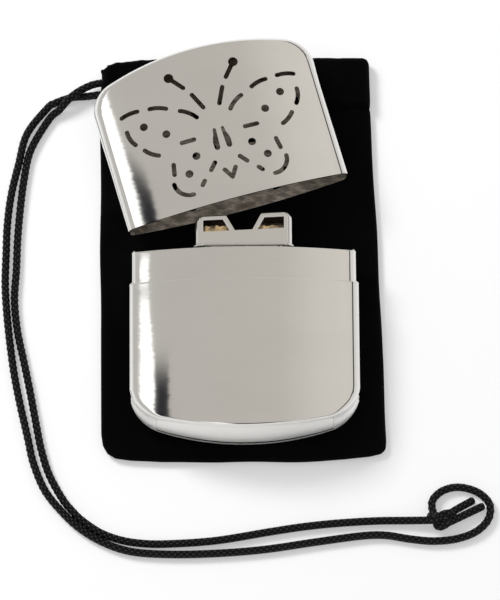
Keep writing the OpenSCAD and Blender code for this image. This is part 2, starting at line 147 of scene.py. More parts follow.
class Tree:
    """Builds a material's or the world's nodes."""

    def __init__(self, owner: bpy.types.Material | bpy.types.World) -> None:
        """Empties the owner's node tree.

        Args:
            owner: The material or world that gets the nodes.
        """
        owner.use_nodes = True
        self.end = "ShaderNodeOutputWorld" if isinstance(owner, bpy.types.World) else "ShaderNodeOutputMaterial"
        self.nodes = owner.node_tree.nodes
        self.links = owner.node_tree.links
        self.nodes.clear()

    def node(self, kind: str, settings: dict[str, object], *inputs: Term | None, out: str | int = 0,
             named: dict[str, Term] | None = None) -> Signal:
        """Adds a node.

        Args:
            kind: The node's type name.
            settings: Its settings, set before its sockets.
            inputs: Values or links of its first sockets, in order, None to skip one.
            out: The output wanted, by name or number.
            named: Values or links of sockets by name.

        Returns:
            The output as a signal.
        """
        made = self.nodes.new(kind)
        for name, value in settings.items():
            setattr(made, name, value)
        sockets = [s for s in made.inputs if s.enabled]
        pairs = [(sockets[i], value) for i, value in enumerate(inputs)]
        pairs += [(made.inputs[name], value) for name, value in (named or {}).items()]
        for socket, value in pairs:
            if value is not None:
                self.feed(socket, value)
        return Signal(self, made.outputs[out])

    def feed(self, socket: bpy.types.NodeSocket, value: Term) -> None:
        """Links a signal to a socket, or sets the socket's own value."""
        if isinstance(value, Signal):
            self.links.new(value.socket, socket)
        elif isinstance(value, tuple):
            socket.default_value = (*value, 1.0) if socket.type == "RGBA" else value
        else:
            socket.default_value = value

    def mix(self, share: Term, first: Term, second: Term) -> Signal:
        """Returns a colour mixed from first at share 0 to second at share 1."""
        made = self.nodes.new("ShaderNodeMix")
        made.data_type = "RGBA"
        self.feed(made.inputs[0], share)
        self.feed(made.inputs[6], first)
        self.feed(made.inputs[7], second)
        return Signal(self, made.outputs[2])

    def ramp(self, value: Signal, stops: Sequence[tuple[float, Colour]]) -> Signal:
        """Returns a colour from a ramp with stops of position and colour."""
        made = self.nodes.new("ShaderNodeValToRGB")
        elements = made.color_ramp.elements
        while len(elements) < len(stops):
            elements.new(1.0)
        for element, (position, colour) in zip(elements, stops):
            element.position = position
            element.color = (*colour, 1.0)
        self.feed(made.inputs[0], value)
        return Signal(self, made.outputs[0])

    def place(self, scale: Colour = (1.0, 1.0, 1.0), turn: Colour = (0.0, 0.0, 0.0)) -> Signal:
        """Returns object coordinates, turned and scaled by a Mapping node."""
        spot = self.node("ShaderNodeTexCoord", {}, out="Object")
        return self.node("ShaderNodeMapping", {}, named={"Vector": spot, "Rotation": turn, "Scale": scale})

    def noise(self, where: Signal, scale: float, detail: float = 2.0, roughness: float = 0.5) -> Signal:
        """Returns a noise texture's value, from 0 to 1."""
        return self.node("ShaderNodeTexNoise", {}, named={
            "Vector": where, "Scale": scale, "Detail": detail, "Roughness": roughness})

    def bump(self, height: Signal, depth: float, strength: float = 1.0, under: Signal | None = None) -> Signal:
        """Returns a normal from a height signal that is depth metres high at 1."""
        return self.node("ShaderNodeBump", {}, named={
            "Strength": strength, "Distance": depth, "Height": height} | ({"Normal": under} if under else {}))

    def leant(self, sideways: Signal) -> Signal:
        """Returns the surface's normal, leant along X by a small amount."""
        straight = self.node("ShaderNodeNewGeometry", {}, out="Normal")
        step = self.node("ShaderNodeCombineXYZ", {}, sideways, 0.0, 0.0)
        moved = self.node("ShaderNodeVectorMath", {"operation": "ADD"}, straight, step)
        return self.node("ShaderNodeVectorMath", {"operation": "NORMALIZE"}, moved)

    def surface(self, shader: Signal) -> None:
        """Links a shader to the output."""
        self.feed(self.nodes.new(self.end).inputs["Surface"], shader)


# ---- finishes ----


class Finish:
    """A procedural material with one Principled shader."""

    name: str

    def make(self) -> bpy.types.Material:
        """Returns the material."""
        made = bpy.data.materials.new(self.name)
        tree = Tree(made)
        tree.surface(tree.node("ShaderNodeBsdfPrincipled", {}, named=self._paint(tree)))
        return made

    def _paint(self, tree: Tree) -> dict[str, Term]:
        """Returns the shader's sockets by name."""
        raise NotImplementedError


@dataclass(frozen=True)
class Chrome(Finish):
    """Chromed sheet with fine hairlines from polishing."""

    name: str = "chrome"
    tint: Colour = (0.80, 0.785, 0.76)
    gloss: float = 0.045
    waver: float = 0.014
    hairline: float = 1.0
    grain: float = 0.0

    def _paint(self, tree: Tree) -> dict[str, Term]:
        """Returns the shader's sockets."""
        rows = tree.noise(tree.place((55.0, 1500.0, 1500.0)), 1.0, 3.0, 0.6)
        broad = tree.noise(tree.place((16.0, 330.0, 330.0)), 1.0, 2.0)
        lines = tree.noise(tree.place((38.0, 4200.0, 4200.0)), 1.0, 3.0, 0.65)
        specks = tree.noise(tree.place(), 2600.0, 2.0)
        stain = tree.noise(tree.place((0.35, 1.0, 1.0)), 60.0, 3.0)
        leant = tree.leant((rows + broad * 0.6 - 0.8) * self.waver)
        worn = stain.between(0.35, 0.75) + lines.between(0.35, 0.7) * 0.6
        return {"Base Color": tree.mix(worn * 0.6, self.tint, tuple(0.95 * c for c in self.tint)), "Metallic": 1.0,
                "Roughness": stain.between(0.3, 0.8) * 0.02 + lines * 0.02 + self.gloss,
                "Normal": tree.bump(lines + specks * self.grain, 0.9e-6, self.hairline, leant)}


@dataclass(frozen=True)
class Satin(Finish):
    """Pressed metal with a dull satin face."""

    name: str = "satin"
    tint: Colour = (0.93, 0.92, 0.90)
    gloss: float = 0.5

    def _paint(self, tree: Tree) -> dict[str, Term]:
        """Returns the shader's sockets."""
        fine = tree.noise(tree.place((900.0, 5200.0, 5200.0)), 1.0, 3.0)
        cloud = tree.noise(tree.place(), 90.0, 3.0)
        return {"Base Color": tree.mix(cloud, self.tint, tuple(0.93 * c for c in self.tint)), "Metallic": 1.0,
                "Roughness": cloud * 0.08 + self.gloss, "Normal": tree.bump(fine, 4e-6, 0.5)}


@dataclass(frozen=True)
class BareInside(Finish):
    """Unplated inside of a pressed shell, brown-grey, with drawn-out blotches."""

    name: str = "bare_inside"
    tint: Colour = (0.95, 0.87, 0.77)
    blotch: Colour = (0.36, 0.315, 0.27)
    gloss: float = 0.32

    def _paint(self, tree: Tree) -> dict[str, Term]:
        """Returns the shader's sockets."""
        drawn = tree.noise(tree.place((260.0, 700.0, 260.0), (0.0, 0.0, 0.9)), 1.0, 4.0, 0.6)
        stain = tree.noise(tree.place(), 150.0, 3.0)
        fine = tree.noise(tree.place((3000.0, 700.0, 3000.0)), 1.0, 3.0)
        return {"Base Color": tree.mix(drawn.between(0.36, 0.7), self.blotch, self.tint), "Metallic": 0.75,
                "Roughness": stain.between(0.3, 0.7) * 0.14 + self.gloss,
                "Normal": tree.bump(fine + stain, 8e-6, 0.6)}


@dataclass(frozen=True)
class Cotton(Finish):
    """Loose white cotton."""

    name: str = "cotton"
    tint: Colour = (0.86, 0.84, 0.79)

    def _paint(self, tree: Tree) -> dict[str, Term]:
        """Returns the shader's sockets."""
        fluff = tree.noise(tree.place(), 900.0, 6.0, 0.7)
        return {"Base Color": tree.mix(fluff, tuple(0.7 * c for c in self.tint), self.tint), "Roughness": 0.95,
                "Normal": tree.bump(fluff, 3e-4, 0.8)}


@dataclass(frozen=True)
class Fibre(Finish):
    """Glass fibre coated with catalyst, tan with scorched patches."""

    name: str = "catalyst_fibre"
    tint: Colour = (0.46, 0.33, 0.17)
    scorch: Colour = (0.045, 0.03, 0.02)

    def _paint(self, tree: Tree) -> dict[str, Term]:
        """Returns the shader's sockets."""
        patch = tree.noise(tree.place(), 420.0, 4.0, 0.6)
        thread = tree.noise(tree.place((700.0, 3600.0, 3600.0)), 1.0, 3.0)
        return {"Base Color": tree.mix(patch.between(0.42, 0.66), self.tint, self.scorch), "Roughness": 0.9,
                "Normal": tree.bump(thread, 2e-4, 0.8)}


@dataclass(frozen=True)
class Velvet(Finish):
    """Black velvet with a short nap."""

    name: str = "velvet"
    tint: Colour = (0.0009, 0.0009, 0.001)
    brushed: Colour = (0.0036, 0.0036, 0.0042)

    def _paint(self, tree: Tree) -> dict[str, Term]:
        """Returns the shader's sockets."""
        pile = tree.noise(tree.place(), 5200.0, 2.0, 0.7)
        swept = tree.noise(tree.place((1.0, 0.7, 1.0)), 34.0, 3.0, 0.6)
        height = pile + swept * 0.6
        return {"Base Color": tree.mix(swept.between(0.38, 0.72) * pile, self.tint, self.brushed),
                "Roughness": 0.97, "Specular IOR Level": 0.05, "Sheen Weight": 0.012, "Sheen Roughness": 0.45,
                "Normal": tree.bump(height, 2.2e-4, 0.9)}


@dataclass(frozen=True)
class Braid(Finish):
    """Black polyester braid, with a painted sheen: its colour lightens on top of each crossing."""

    name: str = "cord_braid"
    valley: Colour = (0.0005, 0.0005, 0.0006)
    # the lighter colour painted on top of each crossing, a painted sheen
    painted_sheen: Colour = (0.05, 0.05, 0.054)

    def _paint(self, tree: Tree) -> dict[str, Term]:
        """Returns the shader's sockets."""
        lift = tree.node("ShaderNodeAttribute", {"attribute_name": "lift"}, out="Fac")
        yarn = tree.noise(tree.place(), 6500.0, 2.0, 0.7)
        # painted highlight: the colour lightens where the braid stands highest
        glint = lift.between(0.62, 1.0) * (0.4 + yarn * 1.1)
        return {"Base Color": tree.mix(glint.clamped(), self.valley, self.painted_sheen),
                "Roughness": 0.7 - lift * 0.2, "Specular IOR Level": 0.2,
                "Normal": tree.bump(yarn, 6e-5, 0.7)}


# ---- mesh work ----


class Pen:
    """Draws one closed outline in a plane of constant Z with bmesh operators."""

    def __init__(self, bm: bmesh.types.BMesh, x: float, y: float, z: float = 0.0) -> None:
        """Sets the outline's first point.

        Args:
            bm: The mesh that the outline is drawn in.
            x: First point's X.
            y: First point's Y.
            z: Height of the whole outline.
        """
        self.bm = bm
        self.z = z
        self.first = bmesh.ops.create_vert(bm, co=(x, y, z))["vert"][0]
        self.tip = self.first
        self.verts = [self.first]

    def line(self, x: float, y: float) -> "Pen":
        """Draws a straight line to a point."""
        made = bmesh.ops.extrude_vert_indiv(self.bm, verts=[self.tip])["verts"][0]
        bmesh.ops.translate(self.bm, verts=[made], vec=Vector((x, y, self.z)) - made.co)
        self.tip = made
        self.verts.append(made)
        return self

    def arc(self, x: float, y: float, degrees: float, steps: int) -> "Pen":
        """Draws an arc about a centre, counter-clockwise where degrees is positive."""
        known = set(self.bm.verts)
        last = bmesh.ops.spin(self.bm, geom=[self.tip], cent=(x, y, self.z), axis=(0, 0, 1),
                              angle=math.radians(degrees), steps=steps)["geom_last"][0]
        self.verts += [v for v in self.bm.verts if v not in known]
        self.tip = last
        return self

    def close(self) -> list[bmesh.types.BMEdge]:
        """Closes the outline and returns its edges."""
        if (self.tip.co - self.first.co).length < 1e-3 * MM:
            bmesh.ops.pointmerge(self.bm, verts=[self.tip, self.first], merge_co=self.first.co)
        else:
            bmesh.ops.contextual_create(self.bm, geom=[self.tip, self.first])
        mine = {v for v in self.verts if v.is_valid}
        return [e for e in self.bm.edges if e.verts[0] in mine and e.verts[1] in mine]


def rounded_slab(bm: bmesh.types.BMesh, width: float, depth: float, radius: float, steps: int = 6,
                 z: float = 0.0) -> list[bmesh.types.BMEdge]:
    """Draws a rounded rectangle about the origin and returns its edges."""
    x, y = width / 2 - radius, depth / 2 - radius
    pen = Pen(bm, width / 2, -y, z).line(width / 2, y).arc(x, y, 90, steps).line(-x, depth / 2)
    pen.arc(-x, y, 90, steps).line(-width / 2, -y).arc(-x, -y, 90, steps).line(x, -depth / 2)
    return pen.arc(x, -y, 90, steps).close()


def slot(bm: bmesh.types.BMesh, start: Sequence[float], end: Sequence[float], width: float, bow: float, z: float,
         steps: int = 8) -> list[bmesh.types.BMEdge]:
    """Draws a slot with round ends.

    Args:
        bm: The mesh that the slot is drawn in.
        start: One end of the slot, X and Y.
        end: The other end.
        width: The slot's width.
        bow: How far its middle lies to the left of the straight line between its ends.
        z: The outline's height.
        steps: Steps round each end.

    Returns:
        The outline's edges.
    """
    a, b, r = Vector(start), Vector(end), width / 2
    u = (b - a).normalized()
    side = Vector((-u.y, u.x))
    a, b = a + u * r, b - u * r
    if abs(bow) < 1e-3 * MM:
        p, q = a - side * r, b - side * r
        pen = Pen(bm, p.x, p.y, z).line(q.x, q.y).arc(b.x, b.y, 180, steps)
        return pen.line(*(a + side * r)).arc(a.x, a.y, 180, steps).close()
    chord = (b - a).length
    radius = (chord * chord / 4 + bow * bow) / (2 * bow)
    centre = (a + b) / 2 + side * (bow - radius)
    sweep = -2 * math.degrees(math.asin(chord / 2 / radius))
    out = (a - centre).normalized() * (r if bow > 0 else -r)
    p = a - out
    pen = Pen(bm, p.x, p.y, z).arc(centre.x, centre.y, sweep, steps).arc(b.x, b.y, 180, steps)
    return pen.arc(centre.x, centre.y, -sweep, steps).arc(a.x, a.y, 180, steps).close()


def finished(name: str, bm: bmesh.types.BMesh, place: Matrix = Matrix.Identity(4), sharp: float = 35.0,
             dress: Callable[[bpy.types.Object], None] | None = None,
             materials: Sequence[bpy.types.Material] = ()) -> bpy.types.Object:
    """Makes an object from a bmesh, with its modifiers applied and its place in its mesh.

    Args:
        name: The piece's name.
        bm: The mesh, which is freed.
        place: Where the piece goes.
        sharp: Edges that turn by more than this many degrees stay sharp.
        dress: Adds modifiers to the object before they are applied.
        materials: The mesh's materials, the main one first.

    Returns:
        The object, at the origin.
    """
    mesh = bpy.data.meshes.new(name)
    bm.to_mesh(mesh)
    bm.free()
    for material in materials:
        mesh.materials.append(material)
    made = bpy.data.objects.new(name, mesh)
    bpy.context.scene.collection.objects.link(made)
    if dress:
        dress(made)
        graph = bpy.context.evaluated_depsgraph_get()
        made.data = bpy.data.meshes.new_from_object(made.evaluated_get(graph), depsgraph=graph)
        made.data.name = name
        made.modifiers.clear()
    made.data.transform(place)
    made.data.shade_smooth()
    if sharp < 180.0:
        made.data.set_sharp_from_angle(angle=math.radians(sharp))
    return made


def reworked(bm: bmesh.types.BMesh, dress: Callable[[bpy.types.Object], None]) -> bmesh.types.BMesh:
    """Applies modifiers to a bmesh and returns the result as a new one."""
    helper = finished("helper", bm, sharp=180.0, dress=dress)
    made = bmesh.new()
    made.from_mesh(helper.data)
    bpy.data.objects.remove(helper)
    return made


def walled(thickness: float, lined: bool = False, even: bool = True) -> Callable[[bpy.types.Object], None]:
    """Returns a function that adds a wall inwards.

    Args:
        thickness: The wall's thickness.
        lined: Whether its inside takes the object's second material.
        even: Whether the wall keeps its thickness round sharp turns.

    Returns:
        The function, which takes the object.
    """
    def dress(made: bpy.types.Object) -> None:
        """Adds the modifier."""
        wall = made.modifiers.new("wall", "SOLIDIFY")
        wall.thickness = thickness
        wall.offset = -1.0
        wall.use_even_offset = even
        wall.use_quality_normals = True
        wall.material_offset = 1 if lined else 0
    return dress


def cut_through(bm: bmesh.types.BMesh, spot: Sequence[float], across: Sequence[float], dist: float = 1e-7,
                drop: bool = False) -> None:
    """Cuts a whole mesh by a plane.

    Args:
        bm: The mesh.
        spot: A point of the plane.
        across: The plane's normal.
        dist: Points nearer than this count as on the plane.
        drop: Whether what lies beyond the plane is deleted.
    """
    bmesh.ops.bisect_plane(bm, geom=[*bm.verts, *bm.edges, *bm.faces], dist=dist, plane_co=spot,
                           plane_no=across, clear_outer=drop)


@dataclass
class Crown:
    """The warmer's cross-section: faces that fall from the middle to the long edges."""

    half_width: float
    thickness: float
    fall_at_edge: float = 4.4 * MM
    slices: int = 136

    def __post_init__(self) -> None:
        """Works out the faces' radius."""
        self.radius = (self.half_width ** 2 + self.fall_at_edge ** 2) / (2 * self.fall_at_edge)

    def cuts(self) -> list[float]:
        """Returns the X of the planes that slice a face into flat strips."""
        return [self.half_width * (2 * i / self.slices - 1) for i in range(1, self.slices)]

    def fall(self, x: float) -> float:
        """Returns how far the face lies below its middle at X, straight between two slices."""
        share = (min(abs(x), self.half_width) / self.half_width) * self.slices / 2
        low = math.floor(share)
        ends = [self._round_fall(2 * self.half_width * i / self.slices) for i in (low, low + 1)]
        return ends[0] + (ends[1] - ends[0]) * (share - low)

    def _round_fall(self, x: float) -> float:
        """Returns the fall on the true arc."""
        return self.radius - math.sqrt(self.radius ** 2 - x * x)

    def bend(self, bm: bmesh.types.BMesh, rim: float) -> None:
        """Slices a flat body and moves its faces, with the edges rounded over rim, down to the crown."""
        for x in self.cuts():
            cut_through(bm, (x, 0, 0), (1, 0, 0))
        solid = self.thickness / 2 - rim
        for v in bm.verts:
            v.co.z -= self.fall(v.co.x) * max(-1.0, min(1.0, v.co.z / solid))


@dataclass
class PressedForm:
    """A flat body pressed from sheet, whose outline's edges are rounded by different radii."""

    thickness: float
    side_edge: float
    end_edge: float
    segments: int = 7
    corner_gain: float = 1.0
    border: float = 0.3 * MM

    def body(self, bm: bmesh.types.BMesh, outline: list[bmesh.types.BMEdge],
             weight: Callable[[Vector, Vector], float] | None = None) -> bmesh.types.BMesh:
        """Raises an outline to the body's thickness about z = 0 and rounds its edges.

        Args:
            bm: The mesh that holds the outline, which is freed.
            outline: The outline's edges, at z = 0.
            weight: Returns an edge's radius from its middle and its direction, or None to keep the rule.

        Returns:
            The rounded body.
        """
        half = self.thickness / 2
        face = bmesh.ops.contextual_create(bm, geom=outline)["faces"]
        bmesh.ops.translate(bm, verts=list({v for f in face for v in f.verts}), vec=(0, 0, half))
        made = bmesh.ops.extrude_face_region(bm, geom=face)["geom"]
        bmesh.ops.translate(bm, verts=[g for g in made if isinstance(g, bmesh.types.BMVert)],
                            vec=(0, 0, -self.thickness))
        bmesh.ops.recalc_face_normals(bm, faces=bm.faces)
        layer = bm.edges.layers.float.new("bevel_weight_edge")
        widest = max(self.side_edge, self.end_edge)
        for edge in bm.edges:
            middle = (edge.verts[0].co + edge.verts[1].co) / 2
            along = (edge.verts[1].co - edge.verts[0].co).normalized()
            radius = weight(middle, along) if weight else self.radius(middle, along)
            edge[layer] = radius / widest
        rounded = reworked(bm, lambda made: self._round(made, widest))
        for towards in (Vector((0, 0, 1)), Vector((0, 0, -1))):
            bmesh.ops.inset_region(rounded, faces=[flat_face(rounded, towards)], thickness=self.border,
                                   use_even_offset=True)
        return rounded

    def radius(self, middle: Vector, along: Vector) -> float:
        """Returns the rounding of an edge: large on the long sides, small on the ends, none on uprights."""
        if abs(along.z) > 0.5:
            return 0.0
        return self.end_edge + (self.side_edge - self.end_edge) * min(1.0, abs(along.y) * self.corner_gain) ** 3

    def _round(self, made: bpy.types.Object, widest: float) -> None:
        """Adds the bevel."""
        edge = made.modifiers.new("rounding", "BEVEL")
        edge.width = widest
        edge.segments = self.segments
        edge.limit_method = "WEIGHT"
        edge.use_clamp_overlap = False


def gathered(parts: Iterable[bmesh.types.BMesh]) -> bmesh.types.BMesh:
    """Puts several bmeshes into one and frees them."""
    whole = bmesh.new()
    for part in parts:
        shelf = bpy.data.meshes.new("part")
        part.to_mesh(shelf)
        part.free()
        whole.from_mesh(shelf)
        bpy.data.meshes.remove(shelf)
    return whole


def sliced(bm: bmesh.types.BMesh, low: Point, high: Point, pitch: float, axes: str = "xy") -> None:
    """Slices a whole mesh by planes a pitch apart, across each of the axes."""
    for axis in axes:
        k = "xyz".index(axis)
        count = max(1, round((high[k] - low[k]) / pitch))
        for i in range(1, count):
            spot, across = [0.0, 0.0, 0.0], [0.0, 0.0, 0.0]
            spot[k], across[k] = low[k] + (high[k] - low[k]) * i / count, 1.0
            cut_through(bm, spot, across)


def fluffed(solid: bpy.types.Object, voxel: float, lump: float, pitch: float) -> bmesh.types.BMesh:
    """Makes a soft copy of a solid.

    Args:
        solid: The solid, which is left as it is.
        voxel: Size of the remeshed faces.
        lump: How far noise pushes the surface in and out.
        pitch: Size of the lumps.

    Returns:
        The remeshed and pushed copy.
    """
    bm = bmesh.new()
    bm.from_mesh(solid.data)
    bmesh.ops.remove_doubles(bm, verts=bm.verts, dist=1e-6)

    def remesh(made: bpy.types.Object) -> None:
        """Adds the remesh."""
        net = made.modifiers.new("net", "REMESH")
        net.mode = "VOXEL"
        net.voxel_size = voxel

    bm = reworked(bm, remesh)
    bm.normal_update()
    moves = [v.normal * lump * (noise.fractal(v.co / pitch, 1.0, 2.0, 3) - 0.3) for v in bm.verts]
    for v, move in zip(bm.verts, moves):
        v.co += move
    return bm


def flat_face(bm: bmesh.types.BMesh, towards: Vector) -> bmesh.types.BMFace:
    """Returns the largest face that looks in a direction."""
    facing = [f for f in bm.faces if f.normal.dot(towards) > 0.999]
    return max(facing, key=lambda f: f.calc_area())


def pierced(bm: bmesh.types.BMesh, towards: Vector, draw: Callable[[float], list[bmesh.types.BMEdge]]) -> None:
    """Cuts holes through a flat face.

    Args:
        bm: The mesh.
        towards: The face's direction, up or down.
        draw: Draws the holes' outlines at a height and returns their edges.
    """
    face = flat_face(bm, towards)
    rim, height = list(face.edges), face.verts[0].co.z
    bmesh.ops.delete(bm, geom=[face], context="FACES_ONLY")
    filled = bmesh.ops.triangle_fill(bm, use_beauty=True, edges=rim + draw(height), normal=towards)["geom"]
    faces = [g for g in filled if isinstance(g, bmesh.types.BMFace)]
    bmesh.ops.reverse_faces(bm, faces=[f for f in faces if f.normal.dot(towards) < 0])


# ---- the warmer ----


def arched_end(bm: bmesh.types.BMesh, half_width: float, start: float, length: float, corner: float = 9 * MM,
               arch: float = 100 * MM) -> list[bmesh.types.BMEdge]:
    """Draws the warmer's outline with its arched end.

    Args:
        bm: The mesh.
        half_width: Half the outline's width.
        start: Where the square end lies.
        length: Where the arch's top lies.
        corner: Radius of the corners.
        arch: Radius of the arch.

    Returns:
        The outline's edges.
    """
    cx = half_width - corner
    lean = math.degrees(math.asin(cx / (arch - corner)))
    cy = length - arch + math.sqrt((arch - corner) ** 2 - cx * cx)
    pen = Pen(bm, half_width, start).line(half_width, cy).arc(cx, cy, 90 - lean, 14)
    pen.arc(0, length - arch, 2 * lean, 40).arc(-cx, cy, 90 - lean, 14).line(-half_width, start)
    return pen.close()


@dataclass
class Tank:
    """The chromed tank with its collar, its bottom rim and its base plate."""

    crown: Crown
    chrome: bpy.types.Material
    satin: bpy.types.Material
    # near-black material on the base opening's turned rim: painted shade for the gap round the base plate
    painted_gap_shade: bpy.types.Material
    side_edge: float = 2.0 * MM
    end_edge: float = 0.8 * MM
    shoulder_edge: float = 0.35 * MM
    corner: float = 11.5 * MM
    arch: float = 100 * MM
    bulge: float = 0.5 * MM
    slant: float = 1.2 * MM
    sheet: float = 0.55 * MM
    step: float = 0.7 * MM
    rim_width: float = 1.2 * MM
    rim_depth: float = 1.5 * MM
    rim_low: float = 1.85 * MM
    base_half_width: float = 26 * MM
    base_recess: float = 0.06 * MM
    base_roll: float = 0.4 * MM
    roll_share: float = 0.07
    lip: float = 1.6 * MM
    middle: float = 10.6 * MM

    def build(self) -> list[bpy.types.Object]:
        """Builds the tank's shown pieces and returns them."""
        place = Matrix.Translation((0, 0, self.middle))
        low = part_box("tank_shell")[0].y
        pieces = []
        for piece, node, slot_name in ((self._shell(place, low), "tank_shell", Slot.CHROME),
                                       (self._collar(place), "collar_sleeve", Slot.CHROME),
                                       (self._base(place, low), "base_plate", Slot.SATIN)):
            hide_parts(node)
            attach(piece, Body.TANK.value)
            pieces.append(piece)
        return pieces

    def _shell(self, place: Matrix, low: float) -> bpy.types.Object:
        """Builds the tank's shell."""
        bm = bmesh.new()
        outline = arched_end(bm, self.crown.half_width, 0, -low, self.corner, self.arch)
        bmesh.ops.scale(bm, vec=(1, -1, 1), verts=bm.verts)
        form = PressedForm(self.crown.thickness, self.side_edge, self.end_edge, corner_gain=1.35)
        bm = form.body(bm, outline, lambda middle, along: self._rounding(form, middle, along))
        bmesh.ops.delete(bm, geom=[flat_face(bm, Vector((0, 1, 0)))], context="FACES")
        self._swell(bm, low)
        self._open_base(bm, low)
        self.crown.bend(bm, self.side_edge)
        bmesh.ops.recalc_face_normals(bm, faces=bm.faces)
        for f in bm.faces:
            if f.normal.y < -0.3 and abs(f.normal.z) < 0.55:
                f.material_index = 1
        return finished("tank_body", bm, place, dress=walled(self.sheet),
                        materials=[self.chrome, self.satin, self.painted_gap_shade])

    def _rounding(self, form: PressedForm, middle: Vector, along: Vector) -> float:
        """Returns an edge's radius: the shoulder's edges have their own."""
        return self.shoulder_edge if abs(middle.y) < 1e-6 else form.radius(middle, along)

    def _swell(self, bm: bmesh.types.BMesh, low: float) -> None:
        """Slices the upright walls, swells the bottom one outwards and slants it back towards its top."""
        reach = self.crown.thickness / 2 - self.side_edge
        for i in range(-3, 4):
            cut_through(bm, (0, 0, reach * i / 4), (0, 0, 1))
        inner = self.crown.half_width - self.corner
        centre = low + self.arch - math.sqrt((self.arch - self.corner) ** 2 - inner ** 2)
        for v in bm.verts:
            if abs(v.co.x) > inner:
                away = Vector((v.co.x - math.copysign(inner, v.co.x), v.co.y - centre, 0))
            else:
                away = Vector((v.co.x, v.co.y - low - self.arch, 0))
            edge = self.corner if abs(v.co.x) > inner else self.arch
            near = max(0.0, min(1.0, 1 - (edge - away.length) / (2 * self.side_edge)))
            away.normalize()
            level = max(-1.0, min(1.0, v.co.z / reach))
            move = self.bulge * (1 - level ** 2) - self.slant * (1 + level) / 2
            v.co += away * move * near * max(0.0, min(1.0, -1.4 * away.y))

    def _open_base(self, bm: bmesh.types.BMesh, low: float) -> None:
        """Cuts the opening for the base plate and turns its rim inwards; the turned rim takes the near-black
        material, painted shade for the gap.
        """
        ends = self._base_ends()
        planes = [((side * self.base_half_width, 0, 0), (1, 0, 0)) for side in (-1, 1)]
        planes += [((0, 0, level), (0, 0, 1)) for level in ends]
        for spot, across in planes:
            near = [f for f in bm.faces if f.calc_center_median().y < low / 2 and abs(f.normal.z) < 0.9]
            edges = {e for f in near for e in f.edges}
            verts = {v for f in near for v in f.verts}
            bmesh.ops.bisect_plane(bm, geom=[*verts, *edges, *near], dist=1e-7, plane_co=spot, plane_no=across)
        inside = [f for f in bm.faces if self._in_base(f.calc_center_median(), low, ends)]
        bmesh.ops.delete(bm, geom=inside, context="FACES")
        rim = [e for e in bm.edges if e.is_boundary and self._in_base(
            (e.verts[0].co + e.verts[1].co) / 2, low, ends, 1e-6)]
        turned = bmesh.ops.extrude_edge_only(bm, edges=rim)["geom"]
        bmesh.ops.translate(bm, verts=[g for g in turned if isinstance(g, bmesh.types.BMVert)],
                            vec=(0, self.rim_depth, 0))
        for face in turned:
            if isinstance(face, bmesh.types.BMFace):
                # painted shade: the turned rim takes the near-black third material in place of the shadow in the
                # gap
                face.material_index = 2

    def _base_ends(self) -> tuple[float, float]:
        """Returns the opening's lowest and highest Z, before the faces are bent."""
        return self.rim_low - self.crown.thickness / 2, self.crown.thickness / 2 - self.rim_width

    def _in_base(self, spot: Vector, low: float, ends: tuple[float, float], play: float = 0.0) -> bool:
        """Tells whether a point of the bottom wall lies in the base's opening."""
        return (spot.y < low / 2 and abs(spot.x) < self.base_half_width + play
                and ends[0] - play < spot.z < ends[1] + play)

    def _base(self, place: Matrix, low: float) -> bpy.types.Object:
        """Builds the base plate, which follows the swelled wall and rolls in at its lower edge."""
        bm = bmesh.new()
        bmesh.ops.create_grid(bm, x_segments=52, y_segments=28, size=1.0)
        half = self.base_half_width - 0.05 * MM
        reach = self.crown.thickness / 2 - self.side_edge
        lowest, highest = self._base_ends()
        for v in bm.verts:
            x, up = v.co.x * half, (v.co.y + 1) / 2
            z = lowest + (highest - lowest - 0.05 * MM) * up
            level = max(-1.0, min(1.0, z / reach))
            arch = low + self.arch - math.sqrt(self.arch ** 2 - x * x)
            roll = self.base_roll * max(0.0, 1 - up / self.roll_share)
            back = self.base_recess + self.slant * (1 + level) / 2 + roll
            v.co = (x, arch + back - self.bulge * (1 - level ** 2), z - self.crown.fall(x) * level)
        return finished("base", bm, place, dress=walled(self.sheet), materials=[self.satin])

    def _collar(self, place: Matrix) -> bpy.types.Object:
        """Builds the collar with its turned-in lip."""
        (_, low, _), (_, top, _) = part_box("collar_sleeve")
        half = self.crown.half_width - self.step
        bm = bmesh.new()
        outline = Pen(bm, half, low).line(half, top).line(-half, top).line(-half, low).close()
        form = PressedForm(self.crown.thickness - 2 * self.step, self.side_edge, self.shoulder_edge)
        bm = form.body(bm, outline, lambda middle, along: 0.0 if abs(middle.y - low) < 1e-6 else (
            self.shoulder_edge if abs(along.z) > 0.5 and middle.y > 0 else form.radius(middle, along)))
        end = flat_face(bm, Vector((0, 1, 0)))
        bmesh.ops.inset_region(bm, faces=[end], thickness=self.lip - self.shoulder_edge, use_even_offset=True)
        bmesh.ops.delete(bm, geom=[flat_face(bm, Vector((0, 1, 0))), flat_face(bm, Vector((0, -1, 0)))],
                         context="FACES")
        self.crown.bend(bm, self.side_edge + self.step)
        bmesh.ops.recalc_face_normals(bm, faces=bm.faces)
        return finished("collar", bm, place, dress=walled(self.sheet), materials=[self.chrome])


